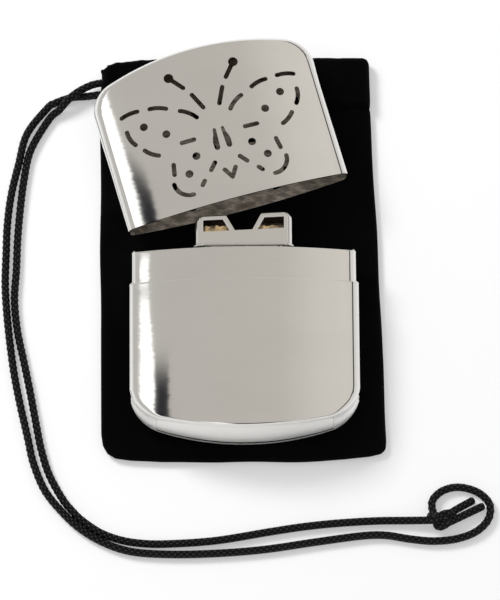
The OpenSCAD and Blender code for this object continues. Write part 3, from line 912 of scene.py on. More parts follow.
@dataclass
class Cap:
    """The vented cap, lying away from the tank."""

    crown: Crown
    chrome: bpy.types.Material
    inside: bpy.types.Material
    length: float = 49.7 * MM
    side_edge: float = 2.0 * MM
    end_edge: float = 1.8 * MM
    sheet: float = 0.55 * MM
    slot_width: float = 1.35 * MM
    vent: float = 1.2 * MM
    tip: float = 1.45 * MM
    shift: Point = (-1.6 * MM, 26.5 * MM, 3.3 * MM)
    turn: float = 15.4
    rise: float = 3.0
    wing_slots: tuple[tuple[float, ...], ...] = (
        (21, 34.6, 27.3, 33.9, 0.3), (12.6, 32.5, 18.6, 34.3, 0.3), (4.7, 27, 10, 31.2, 0.4),
        (24.7, 24, 26.5, 29.8, -0.4), (18.7, 18.8, 23.3, 22.5, -0.3), (7.2, 20.9, 12.3, 20.9, 0),
        (15.7, 15.7, 16.5, 11.3, 0), (17.8, 9.5, 12.1, 3.9, 1.4), (3.4, 12.7, 6, 9.7, 0),
        (7.9, 8, 9.7, 5.9, 0), (2.2, 29.3, 5, 35.3, 0))
    round_vents: tuple[tuple[float, float], ...] = ((21.1, 29.2), (15.3, 25), (8.6, 15.7), (12.1, 10.9))
    feeler: tuple[float, ...] = (6.2, 37, 10, 41.7)

    def build(self) -> list[bpy.types.Object]:
        """Builds the cap and returns it."""
        place = (Matrix.Translation(self.shift) @ Matrix.Rotation(math.radians(self.turn), 4, "Z")
                 @ Matrix.Rotation(math.radians(self.rise), 4, "X")
                 @ Matrix.Translation((0, 0, self.crown.thickness / 2)))
        bm = bmesh.new()
        outline = arched_end(bm, self.crown.half_width, -5 * MM, self.length)
        bm = PressedForm(self.crown.thickness, self.side_edge, self.end_edge).body(bm, outline)
        cut_through(bm, (0, 0, 0), (0, -1, 0), drop=True)
        for towards in (Vector((0, 0, 1)), Vector((0, 0, -1))):
            pierced(bm, towards, lambda z: self._butterfly(bm, z))
        self.crown.bend(bm, self.side_edge)
        bmesh.ops.recalc_face_normals(bm, faces=bm.faces)
        cap = finished("vented_cap", bm, place, dress=walled(self.sheet, lined=True),
                       materials=[self.chrome, self.inside])
        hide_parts("cap_shell")
        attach(cap, Body.CAP.value)
        return [cap]

    def _butterfly(self, bm: bmesh.types.BMesh, z: float) -> list[bmesh.types.BMEdge]:
        """Draws the vents: a butterfly of bowed slots and dots, one half mirrored."""
        edges: list[bmesh.types.BMEdge] = []
        for side in (1, -1):
            known = set(bm.verts)
            half = self._wing(bm, z)
            new = [v for v in bm.verts if v not in known]
            bmesh.ops.scale(bm, vec=(side, 1, 1), verts=new)
            edges += half
        return edges + self._tail(bm, z)

    def _wing(self, bm: bmesh.types.BMesh, z: float) -> list[bmesh.types.BMEdge]:
        """Draws the vents of the right half."""
        edges: list[bmesh.types.BMEdge] = []
        for x0, y0, x1, y1, bow in self.wing_slots:
            edges += slot(bm, (x0 * MM, y0 * MM), (x1 * MM, y1 * MM), self.slot_width, bow * MM, z)
        for x, y in self.round_vents:
            edges += Pen(bm, x * MM + self.vent, y * MM, z).arc(x * MM, y * MM, 360, 28).close()
        return edges + self._feeler(bm, z) + self._body_vent(bm, z)

    def _feeler(self, bm: bmesh.types.BMesh, z: float) -> list[bmesh.types.BMEdge]:
        """Draws a feeler: a straight slot that runs into a round tip."""
        x0, y0, x1, y1 = (value * MM for value in self.feeler)
        foot, tip = Vector((x0, y0)), Vector((x1, y1))
        u = (tip - foot).normalized()
        side, r = Vector((-u.y, u.x)), self.slot_width / 2
        foot += u * r
        reach = math.sqrt(self.tip ** 2 - r * r)
        neck = tip - u * reach - side * r
        sweep = 360 - 2 * math.degrees(math.asin(r / self.tip))
        start = foot - side * r
        pen = Pen(bm, start.x, start.y, z).line(neck.x, neck.y).arc(tip.x, tip.y, sweep, 26)
        return pen.line(*(foot + side * r)).arc(foot.x, foot.y, 180, 8).close()

    def _body_vent(self, bm: bmesh.types.BMesh, z: float) -> list[bmesh.types.BMEdge]:
        """Draws half of the body: a drop with a narrow stem above a full belly."""
        stem, belly = 0.52 * MM, 0.85 * MM
        top, low = Vector((1.28 * MM, 22.2 * MM)), Vector((1.85 * MM, 16.6 * MM))
        pen = Pen(bm, low.x - belly, low.y, z).arc(low.x, low.y, 180, 10)
        pen.line(2.75 * MM, 18.2 * MM).line(2.45 * MM, 19.6 * MM).line(1.95 * MM, 20.8 * MM)
        return pen.line(top.x + stem, top.y).arc(top.x, top.y, 180, 8).close()

    def _tail(self, bm: bmesh.types.BMesh, z: float) -> list[bmesh.types.BMEdge]:
        """Draws the tail, a V with round ends and a round foot."""
        r = self.slot_width / 2
        foot, tip = Vector((0, 6.46 * MM)), Vector((1.68 * MM, 9.22 * MM))
        u = (tip - foot).normalized()
        lean = math.degrees(math.atan2(u.x, u.y))
        right = Vector((u.y, -u.x)) * r
        inner = foot.y + r / math.sin(math.radians(lean))
        start = foot + right
        pen = Pen(bm, start.x, start.y, z).line(*(tip + right)).arc(tip.x, tip.y, 180, 8).line(0, inner)
        mirrored = Vector((-tip.x, tip.y))
        pen.line(mirrored.x + right.x, mirrored.y - right.y).arc(mirrored.x, mirrored.y, 180, 8)
        return pen.line(-start.x, start.y).arc(foot.x, foot.y, 180 - 2 * lean, 8).close()


# ---- the burner ----


def upright(middle: float) -> Matrix:
    """Returns the place that stands a plan up across the warmer, its height running along Y."""
    return Matrix.Translation((0, 0, middle)) @ Matrix.Rotation(math.radians(-90), 4, "X")


@dataclass
class Burner:
    """The catalyst burner: skirt, two-lobed housing, and the fibre that shows through it."""

    nickel: bpy.types.Material
    inside: bpy.types.Material
    lip: bpy.types.Material
    fibre: bpy.types.Material
    mat: bpy.types.Object
    middle: float = 10.6 * MM
    width: float = 28.8 * MM
    depth: float = 8.4 * MM
    low: float = 11.9 * MM
    top: float = 21.7 * MM
    side_edge: float = 1.6 * MM
    top_edge: float = 0.8 * MM
    border: float = 0.1 * MM
    lobe: float = 2.6 * MM
    sheet: float = 0.5 * MM
    notch_floor: float = 2.6 * MM
    notch_top: float = 5.5 * MM
    notch_height: float = 4.4 * MM
    window: tuple[tuple[float, float], ...] = ((4.1, 16.3), (12.0, 16.3), (12.0, 20.0), (6.2, 20.0))
    window_lip: float = 0.28 * MM
    lip_drop: float = 0.12 * MM
    tilt: float = 0.045
    rim: tuple[float, ...] = (30.4 * MM, 10 * MM, 3.2 * MM, 0.8 * MM)
    sleeve: tuple[float, ...] = (24.3 * MM, 6.7 * MM, 2.85 * MM, 3.2 * MM)
    fluff: tuple[float, ...] = (0.3 * MM, 0.35 * MM, 1.4 * MM)
    lobe_stretch: float = 1.1
    notch_level: float = 16.3 * MM
    fibres: int = 220
    fibre_radii: tuple[float, float] = (0.05 * MM, 0.03 * MM)
    fibre_seed: int = 7

    def build(self) -> list[bpy.types.Object]:
        """Builds the burner's shown pieces and returns them."""
        pieces = []
        for piece, node, slot_name in ((self._housing(), "burner_housing", Slot.BURNER),
                                       (self._skirt(), "burner_skirt", Slot.BURNER),
                                       (self._mat(), "catalyst_mat", Slot.FIBRE)):
            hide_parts(node)
            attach(piece, Body.BURNER.value)
            pieces.append(piece)
        return pieces

    def _housing(self) -> bpy.types.Object:
        """Builds the housing: two lobes with a notch between them and a window in each."""
        bm = bmesh.new()
        half, r = self.width / 2, self.lobe
        pen = Pen(bm, half, self.low).line(half, self.top - r).arc(half - r, self.top - r, 90, 8)
        outline = pen.line(r - half, self.top).arc(r - half, self.top - r, 90, 8).line(-half, self.low).close()
        form = PressedForm(self.depth, self.side_edge, self.top_edge, border=self.border)
        bm = form.body(bm, outline, lambda middle, along: (
            0.0 if middle.y < self.low + 1e-6 else form.radius(middle, along)))
        bmesh.ops.delete(bm, geom=[flat_face(bm, Vector((0, -1, 0)))], context="FACES")
        for towards in (Vector((0, 0, 1)), Vector((0, 0, -1))):
            pierced(bm, towards, lambda z: self._windows(bm, z))
            self._turn_lips(bm, towards.z)
        self._cut_notch(bm)
        for v in bm.verts:
            rise = max(0.0, min(1.0, (v.co.y - self.low) / self.notch_height))
            v.co.y += self.tilt * v.co.x * rise
        return finished("housing", bm, Matrix.Translation((0, 0, self.middle)), sharp=12.0,
                        dress=walled(self.sheet, lined=True, even=False),
                        materials=[self.nickel, self.inside, self.lip, self.inside])

    def _windows(self, bm: bmesh.types.BMesh, z: float) -> list[bmesh.types.BMEdge]:
        """Draws both windows at a height, wider by their lips, and returns their edges."""
        edges: list[bmesh.types.BMEdge] = []
        for side in (1, -1):
            (x, y), *rest = self._corners(self.window_lip)
            pen = Pen(bm, side * x, y, z)
            for x, y in rest:
                pen.line(side * x, y)
            edges += pen.close()
        return edges

    def _corners(self, spread: float) -> list[tuple[float, float]]:
        """Returns the right window's corners, moved outwards by a lip's width."""
        moves = ((-1.6, 0), (1, 0), (1, 1), (-0.6, 1))
        return [(x * MM + spread * out, y * MM + spread * up) for (x, y), (out, up) in zip(self.window, moves)]

    def _turn_lips(self, bm: bmesh.types.BMesh, towards: float) -> None:
        """Turns the windows' edges in, to a lip that slopes into the sheet."""
        wide, true = self._corners(self.window_lip), self._corners(0.0)
        rims = [e for e in bm.edges if e.is_boundary and e.verts[0].co.z * towards > self.depth / 2 - 1e-5
                and max(v.co.y for v in e.verts) > self.low + 1e-4]
        turned = bmesh.ops.extrude_edge_only(bm, edges=rims)["geom"]
        for v in (g for g in turned if isinstance(g, bmesh.types.BMVert)):
            near = min(range(4), key=lambda i: math.hypot(abs(v.co.x) - wide[i][0], v.co.y - wide[i][1]))
            v.co = (math.copysign(true[near][0], v.co.x), true[near][1], v.co.z - towards * self.lip_drop)
        lips = [g for g in turned if isinstance(g, bmesh.types.BMFace)]
        bm.normal_update()
        bmesh.ops.reverse_faces(bm, faces=[f for f in lips if f.normal.z * towards < 0])
        for face in lips:
            face.material_index = 2

    def _cut_notch(self, bm: bmesh.types.BMesh) -> None:
        """Cuts the notch's two sides and its floor through the body and takes out what lies between them."""
        floor = self.low + self.notch_height
        lean = Vector((self.top - floor, self.notch_floor - self.notch_top, 0))
        planes = [(Vector((side * self.notch_floor, floor, 0)), Vector((side * lean.x, lean.y, 0)).normalized())
                  for side in (-1, 1)]
        planes.append((Vector((0, floor, 0)), Vector((0, -1, 0))))
        for spot, across in planes:
            cut_through(bm, spot, across, dist=1e-6)
        inside = [f for f in bm.faces
                  if all((f.calc_center_median() - spot).dot(across) < 0 for spot, across in planes)]
        bmesh.ops.delete(bm, geom=inside, context="FACES")

    def _skirt(self) -> bpy.types.Object:
        """Builds the skirt: a sleeve with a rounded rim round it."""
        width, depth, radius, thick = self.rim
        bm = bmesh.new()
        form = PressedForm(thick, 0.47 * thick, 0.47 * thick, segments=4)
        rim = form.body(bm, rounded_slab(bm, width, depth, radius, 10))
        bmesh.ops.translate(rim, verts=rim.verts, vec=(0, 0, self.low - thick / 2))
        width, depth, radius, tall = self.sleeve
        bm = bmesh.new()
        face = bmesh.ops.contextual_create(bm, geom=rounded_slab(bm, width, depth, radius, 10, self.low - 1.5 * MM))
        made = bmesh.ops.extrude_face_region(bm, geom=face["faces"])["geom"]
        bmesh.ops.translate(bm, verts=[g for g in made if isinstance(g, bmesh.types.BMVert)], vec=(0, 0, tall))
        bmesh.ops.recalc_face_normals(bm, faces=bm.faces)
        for towards in (Vector((0, 0, 1)), Vector((0, 0, -1))):
            bmesh.ops.delete(bm, geom=[flat_face(bm, towards)], context="FACES")
        whole = gathered([rim, reworked(bm, walled(self.sheet))])
        return finished("skirt", whole, upright(self.middle), materials=[self.nickel])

    def _mat(self) -> bpy.types.Object:
        """Builds the catalyst mat, with loose fibres that stand out of its top."""
        bm = fluffed(self.mat, *self.fluff)
        for v in bm.verts:
            v.co.y += self.lobe_stretch * max(0.0, v.co.y - self.notch_level)
        dice = np.random.default_rng(self.fibre_seed)
        for i in range(self.fibres):
            in_lobe = i % 3 == 0
            across = dice.uniform(4.5, 11) * (1 if i % 2 else -1) if in_lobe else dice.uniform(-2.6, 2.6)
            spot = Vector((across * MM, self.low + (5.6 if in_lobe else 4.2 + dice.uniform(-0.3, 0.3)) * MM,
                           self.middle + dice.uniform(-2.9, 2.9) * MM))
            heading = Vector((dice.normal(0, 0.7), abs(dice.normal(0.5, 0.4)), dice.normal(0, 0.7)))
            turn = heading.to_track_quat("Z", "Y").to_matrix().to_4x4()
            foot, tip = self.fibre_radii
            bmesh.ops.create_cone(bm, cap_ends=True, cap_tris=True, segments=3, radius1=foot, radius2=tip,
                                  depth=dice.uniform(0.7, 1.7) * MM, matrix=Matrix.Translation(spot) @ turn)
        return finished("mat", bm, sharp=180.0, materials=[self.fibre])


@dataclass
class Filling:
    """The cotton inside: the tank's wadding and the wick pad in its neck."""

    cotton: bpy.types.Material

    def build(self, nodes: dict[str, bpy.types.Object]) -> list[bpy.types.Object]:
        """Builds the two cotton pieces from their solids and returns them."""
        pieces = []
        for node, voxel, lump, pitch in (("cotton_wadding", 0.9 * MM, 0.5 * MM, 5 * MM),
                                         ("wick_pad", 0.35 * MM, 0.12 * MM, 1.5 * MM)):
            piece = finished(f"{node}_fluff", fluffed(nodes[node], voxel, lump, pitch), sharp=180.0,
                             materials=[self.cotton])
            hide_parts(node)
            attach(piece, Body.TANK.value)
            pieces.append(piece)
        return pieces


# ---- the pouch ----


@dataclass
class Pouch:
    """The velvet drawstring pouch, laid flat: two panels and the casing for the cord."""

    velvet: bpy.types.Material
    cloth: float = 1.2 * MM
    two_panels: float = 3.0 * MM
    casing_depth: float = 4.8 * MM
    panel: tuple[tuple[float, float], ...] = (
        (38.3, 60.8), (36, 61), (-41, 61), (-43, 60.8), (-43, 40), (-42.8, 15), (-42.5, -15), (-42.3, -43),
        (-41.9, -46.6), (-40.6, -49), (-38.4, -50.5), (-34, -51.3), (-24.7, -52.1), (-8, -52.4), (12, -52.2),
        (29.4, -51.5), (36.6, -50.7), (40, -49.8), (41.2, -48.5), (41.5, -46), (41.4, -41), (41.1, -21.6),
        (40.4, 0), (39.8, 20.8), (39.1, 37.3))
    casing: tuple[tuple[float, float], ...] = (
        (-43, 60.1), (38.3, 60.1), (38.4, 63), (38.3, 74.8), (37.7, 76.2), (36.3, 76.9), (20, 77), (0, 77),
        (-22, 77), (-31, 77), (-36, 76.6), (-38.2, 76.3), (-40.6, 75.6), (-41.4, 74.5), (-43, 73.7))

    def build(self) -> list[bpy.types.Object]:
        pieces = []
        for piece, node, held in ((self._panel("panel_back", -1), "pouch_back_panel", "laid"),
                                  (self._panel("panel_front", 1), "pouch_front_panel", "laid"),
                                  (self._casing(), "pouch_casing", "gathered")):
            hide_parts(node)
            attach(piece, Body.POUCH.value)
            pieces.append(piece)
        return pieces

    def _body(self, points: Sequence[tuple[float, float]], depth: float, edge: float, pitch: float,
              axes: str) -> bmesh.types.BMesh:
        """Raises an outline to a depth about z = 0, rounds its edges and slices it."""
        bm = bmesh.new()
        (x, y), *rest = points
        pen = Pen(bm, x * MM, y * MM)
        for x, y in rest:
            pen.line(x * MM, y * MM)
        bm = PressedForm(depth, edge, edge, segments=5).body(bm, pen.close())
        xs, ys = [p[0] * MM for p in points], [p[1] * MM for p in points]
        sliced(bm, (min(xs), min(ys), -depth), (max(xs), max(ys), depth), pitch, axes)
        bmesh.ops.triangulate(bm, faces=[f for f in bm.faces if len(f.verts) > 4])
        bmesh.ops.recalc_face_normals(bm, faces=bm.faces)
        bm.normal_update()
        return bm

    def _panel(self, name: str, side: int) -> bpy.types.Object:
        """Builds a panel: the upper or the lower half of the laid pouch."""
        bm = self._body(self.panel, self.two_panels, 0.48 * self.two_panels, 2.4 * MM, "xy")
        cut_through(bm, (0, 0, 0), (0, 0, -side), drop=True)
        for v in bm.verts:
            sway = noise.noise_vector(v.co / (19 * MM))
            v.co.x += 0.5 * MM * sway.x
            v.co.y += 0.5 * MM * sway.y * min(1.0, max(0.0, (58 * MM - v.co.y) / (10 * MM)))
            pucker = noise.noise(Vector((v.co.x, v.co.y, 0)) / (6 * MM))
            v.co.z -= side * 0.14 * MM * (0.5 + pucker) * min(1.0, abs(v.co.z) / MM)
        return finished(name, bm, Matrix.Translation((0, 0, self.two_panels / 2)), sharp=180.0,
                        dress=self._cloth_wall, materials=[self.velvet])

    def _casing(self) -> bpy.types.Object:
        """Builds the casing: a flat tunnel, open at its left end, its cloth gathered on the cord there."""
        bm = self._body(self.casing, self.casing_depth, 0.44 * self.casing_depth, 0.9 * MM, "x")
        left = min(x for x, _ in self.casing) * MM
        sliced(bm, (left, 60 * MM, 0), (0, 77 * MM, 0), 1.7 * MM, "y")
        mouth = [f for f in bm.faces if f.normal.x < -0.99 and f.calc_center_median().x < left + 1e-6]
        bmesh.ops.delete(bm, geom=mouth, context="FACES")
        bm.normal_update()
        for v in bm.verts:
            gather = max(0.0, min(1.0, (-26 * MM - v.co.x) / (12 * MM)))
            ridge = noise.noise(Vector((v.co.x / (1.5 * MM), v.co.y / (9 * MM), v.co.z / (9 * MM))))
            broad = noise.noise(Vector((v.co.x / (7 * MM), v.co.y / (12 * MM), 4.0)))
            depth = (0.12 + 0.5 * gather) * (0.5 + ridge) + (0.2 + 0.3 * gather) * (0.5 + broad)
            v.co -= v.normal * depth * MM * min(1.0, abs(v.co.z) / (1.2 * MM) + 0.3)
        return finished("casing", bm, Matrix.Translation((0, 0, self.casing_depth / 2)), sharp=180.0,
                        dress=self._cloth_wall, materials=[self.velvet])

    def _cloth_wall(self, made: bpy.types.Object) -> None:
        """Adds the cloth's thickness and rounds the mesh."""
        wall = made.modifiers.new("cloth", "SOLIDIFY")
        wall.thickness = self.cloth
        wall.offset = -1.0
        wall.use_even_offset = False
        smooth = made.modifiers.new("smooth", "SUBSURF")
        smooth.levels = 1
        smooth.render_levels = 1


# ---- the drawstring ----


def smooth_path(points: Sequence[Point], spacing: float) -> np.ndarray:
    """Runs a centripetal curve through points.

    Args:
        points: The route, in metres.
        spacing: Distance between the returned points.

    Returns:
        Points along the curve, evenly spaced.
    """
    route = np.array(points, float)
    ends = np.vstack([2 * route[0] - route[1], route, 2 * route[-1] - route[-2]])
    fine: list[np.ndarray] = []
    for i in range(len(route) - 1):
        p0, p1, p2, p3 = ends[i:i + 4]
        t = np.linspace(0, 1, 24, endpoint=False)[:, None]
        fine.append(0.5 * (2 * p1 + (p2 - p0) * t + (2 * p0 - 5 * p1 + 4 * p2 - p3) * t ** 2
                           + (3 * p1 - p0 - 3 * p2 + p3) * t ** 3))
    dense = np.vstack([*fine, route[-1:]])
    along = np.concatenate([[0], np.cumsum(np.linalg.norm(np.diff(dense, axis=0), axis=1))])
    count = max(4, round(along[-1] / spacing))
    wanted = np.linspace(0, along[-1], count + 1)
    return np.column_stack([np.interp(wanted, along, dense[:, k]) for k in range(3)])


@dataclass
class BraidedCord:
    """A round braid: bumps where its strands cross, on a tube that follows a path."""

    diameter: float
    relief: float = 0.26 * MM
    sides: int = 32
    spacing: float = 0.2 * MM
    crossings: int = 10
    lay: float = 1.8 * MM

    def tube(self, name: str, points: Sequence[Point], taper: float = 0.0) -> tuple[bpy.types.Object, np.ndarray]:
        """Builds a braided tube.

        Args:
            name: The piece's name.
            points: The route of its centre, in metres.
            taper: Length over which its far end closes, for a cut end.

        Returns:
            The object and the path that it follows.
        """
        path = smooth_path(points, self.spacing)
        path[:, 2] += self.relief / 2
        rings = len(path)
        bm = bmesh.new()
        bmesh.ops.create_grid(bm, x_segments=rings - 1, y_segments=self.sides, size=0.5)
        bm.verts.ensure_lookup_table()
        flat = np.array([v.co[:] for v in bm.verts]) + 0.5
        ring = np.rint(flat[:, 0] * (rings - 1)).astype(int)
        spot, lift = self._wrap(path, ring, flat[:, 1], taper)
        for v, co in zip(bm.verts, spot):
            v.co = co
        layer = bm.verts.layers.float.new("lift")
        for v, value in zip(bm.verts, lift):
            v[layer] = value
        bmesh.ops.remove_doubles(bm, verts=bm.verts, dist=1e-6)
        bmesh.ops.holes_fill(bm, edges=[e for e in bm.edges if e.is_boundary], sides=0)
        bmesh.ops.recalc_face_normals(bm, faces=bm.faces)
        return finished(name, bm, sharp=180.0), path

    def _wrap(self, path: np.ndarray, ring: np.ndarray, share: np.ndarray,
              taper: float) -> tuple[np.ndarray, np.ndarray]:
        """Returns where the tube's points go round the path, and how high each stands on the braid."""
        heading = np.gradient(path, axis=0)
        heading /= np.linalg.norm(heading, axis=1)[:, None]
        side = np.cross(heading, [0, 0, 1.0])
        side /= np.linalg.norm(side, axis=1)[:, None]
        up = np.cross(side, heading)
        along = np.concatenate([[0], np.cumsum(np.linalg.norm(np.diff(path, axis=0), axis=1))])
        angle = share * 2 * math.pi
        lift = 0.5 + 0.5 * np.cos(self.crossings / 2 * angle) * np.cos(2 * math.pi * along[ring] / self.lay)
        radius = self.diameter / 2 + self.relief * (lift - 0.5)
        if taper:
            left = (along[-1] - along[ring]) / taper
            radius = radius * np.sqrt(np.clip(1 - (1 - np.clip(left, 0, 1)) ** 2, 0.02, 1))
        outwards = side[ring] * np.cos(angle)[:, None] + up[ring] * np.sin(angle)[:, None]
        spot = path[ring] + outwards * radius[:, None]
        return spot, lift


@dataclass
class Drawstring:
    """The drawstring: the run in the casing, two free strands, their knot and its tails."""

    braid: bpy.types.Material
    diameter: float = 2.2 * MM
    rest: float = 1.1
    long_route: tuple[tuple[float, ...], ...] = (
        (-43, 65.6, 2.4), (-45.4, 65.5, 1.9), (-47.8, 65.5, 1.3), (-50.2, 65.5), (-52.4, 65.1), (-54.6, 64.4),
        (-56.8, 63.4), (-58.9, 61.9), (-65, 53.5), (-67.5, 43.4), (-69.6, 33.7), (-70.7, 24), (-71, 14.3),
        (-71.2, 4.7), (-70.6, -4.9), (-69.6, -14.5), (-68.3, -24), (-66.5, -33.5), (-64.2, -44), (-62.5, -51.8),
        (-59.2, -60.2), (-54.4, -66.7), (-48.8, -72.3), (-42, -76.7), (-34, -79.6), (-23.5, -80.6), (-10, -80.5),
        (5, -79.4), (21, -77.1), (34, -75.4), (41, -75.3), (48, -76.5), (55, -77.2), (62, -76.5), (67.7, -74.2),
        (71.2, -70.4), (71.6, -66), (69, -62.7), (65, -60.9), (61, -60.6), (57.2, -62), (54.8, -64.9, 1.4),
        (54.9, -68.6, 2.2), (56.2, -70.6, 2.6))
    short_route: tuple[tuple[float, ...], ...] = (
        (-43, 69.4, 2.4), (-45.3, 68.8, 2.55), (-47.6, 67.6, 2.95), (-49.6, 66.2, 3.42), (-51.6, 64.6, 3.42),
        (-53.4, 62.9, 2.85), (-55.4, 60.9, 1.75), (-58.4, 58.2), (-63.8, 48.3), (-65.8, 38.6), (-66.9, 28.8),
        (-67.6, 19.1), (-67.9, 9.5), (-68.4, -0.1), (-67.5, -9.7), (-65.6, -19.3), (-63.7, -28.8), (-61.6, -40.5),
        (-60.1, -48), (-57.8, -55.6), (-53.9, -63.1), (-51, -66.9), (-48.1, -69.9), (-42.8, -73.7), (-37, -76),
        (-31.1, -77.1), (-23.5, -77.4), (-9, -76.5), (7, -73.9), (17, -72.4), (27, -71.4), (38, -70.8),
        (47, -70.9, 1.5), (54.2, -71.2, 2.4), (57, -71.4, 2.8))
    knot_at: Point = (57.5, -71, 2.6)
    knot_loops: tuple[tuple[float, ...], ...] = ((1.25, 0.72, 1.15, 0.4), (0.8, 0.5, 0.8, 2.2))
    tails: tuple[tuple[Point, ...], ...] = (
        ((58.2, -70.2, 2.7), (62.6, -67.2, 1.75), (67.2, -64.45, 1.25)),
        ((59, -72.2, 2.6), (64.2, -69.4, 1.8), (70.1, -66.3, 1.25)))
    casing_run: tuple[Point, ...] = (
        (-43, 69.4, 2.4), (-30, 70.4, 2.4), (0, 73.6, 2.4), (22, 74.1, 2.4), (29.9, 74, 2.4), (33.8, 72.4, 2.4),
        (35.4, 68.5, 2.4), (33.8, 64.6, 2.4), (29.9, 63, 2.4), (22, 62.9, 2.4), (0, 63.4, 2.4), (-30, 65.2, 2.4),
        (-43, 65.6, 2.4))

    def build(self) -> list[bpy.types.Object]:
        maker = BraidedCord(self.diameter)
        long_strand, long_path = maker.tube("strand_long", self._metres(self.long_route))
        short_strand, short_path = maker.tube("strand_short", self._metres(self.short_route))
        hidden = BraidedCord(self.diameter, spacing=0.5 * MM, sides=20)
        run, _ = hidden.tube("strand_in_casing", self._metres(self.casing_run))
        knot = self._knot(maker)
        tails = self._tails(maker)
        for piece, node in ((long_strand, "drawstring_long_strand"), (short_strand, "drawstring_short_strand"),
                            (run, "drawstring_casing_run"), (knot, "drawstring_knot"), (tails, "drawstring_tails")):
            piece.data.materials.append(self.braid)
            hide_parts(node)
            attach(piece, Body.POUCH.value)
        for piece, path, mates in ((long_strand, long_path, [knot, tails]), (short_strand, short_path, [])):
            [tuple(p) for p in path[::4]] + [tuple(path[-1])]
        return [long_strand, short_strand, run, knot, tails]

    def _metres(self, route: Iterable[Sequence[float]]) -> list[Point]:
        """Returns a route in metres. A point without a height lies on the table."""
        return [tuple(value * MM for value in (*point, self.rest)[:3]) for point in route]

    def _knot(self, maker: BraidedCord) -> bpy.types.Object:
        """Builds the knot: both strands drawn tight in one overhand knot."""
        x, y, z = self.knot_at
        loops = []
        for across, along, tall, start in self.knot_loops:
            points = []
            for i in range(60):
                t = 2 * math.pi * i / 60 + start
                points.append((x + across * (math.sin(t) + 2 * math.sin(2 * t)),
                               y + along * (math.cos(t) - 2 * math.cos(2 * t)), z - tall * math.sin(3 * t)))
            loops.append(maker.tube("loop", self._metres(points), taper=0.6 * MM)[0])
        return self._as_one("knot", loops)

    def _tails(self, maker: BraidedCord) -> bpy.types.Object:
        """Builds the two cut tails as one piece."""
        tubes = [maker.tube("tail", self._metres(route), taper=0.8 * MM)[0] for route in self.tails]
        return self._as_one("tails", tubes)

    @staticmethod
    def _as_one(name: str, tubes: Sequence[bpy.types.Object]) -> bpy.types.Object:
        """Puts tubes into one piece."""
        bm = bmesh.new()
        for tube in tubes:
            bm.from_mesh(tube.data)
            bpy.data.objects.remove(tube)
        return finished(name, bm, sharp=180.0)


# ---- the studio ----


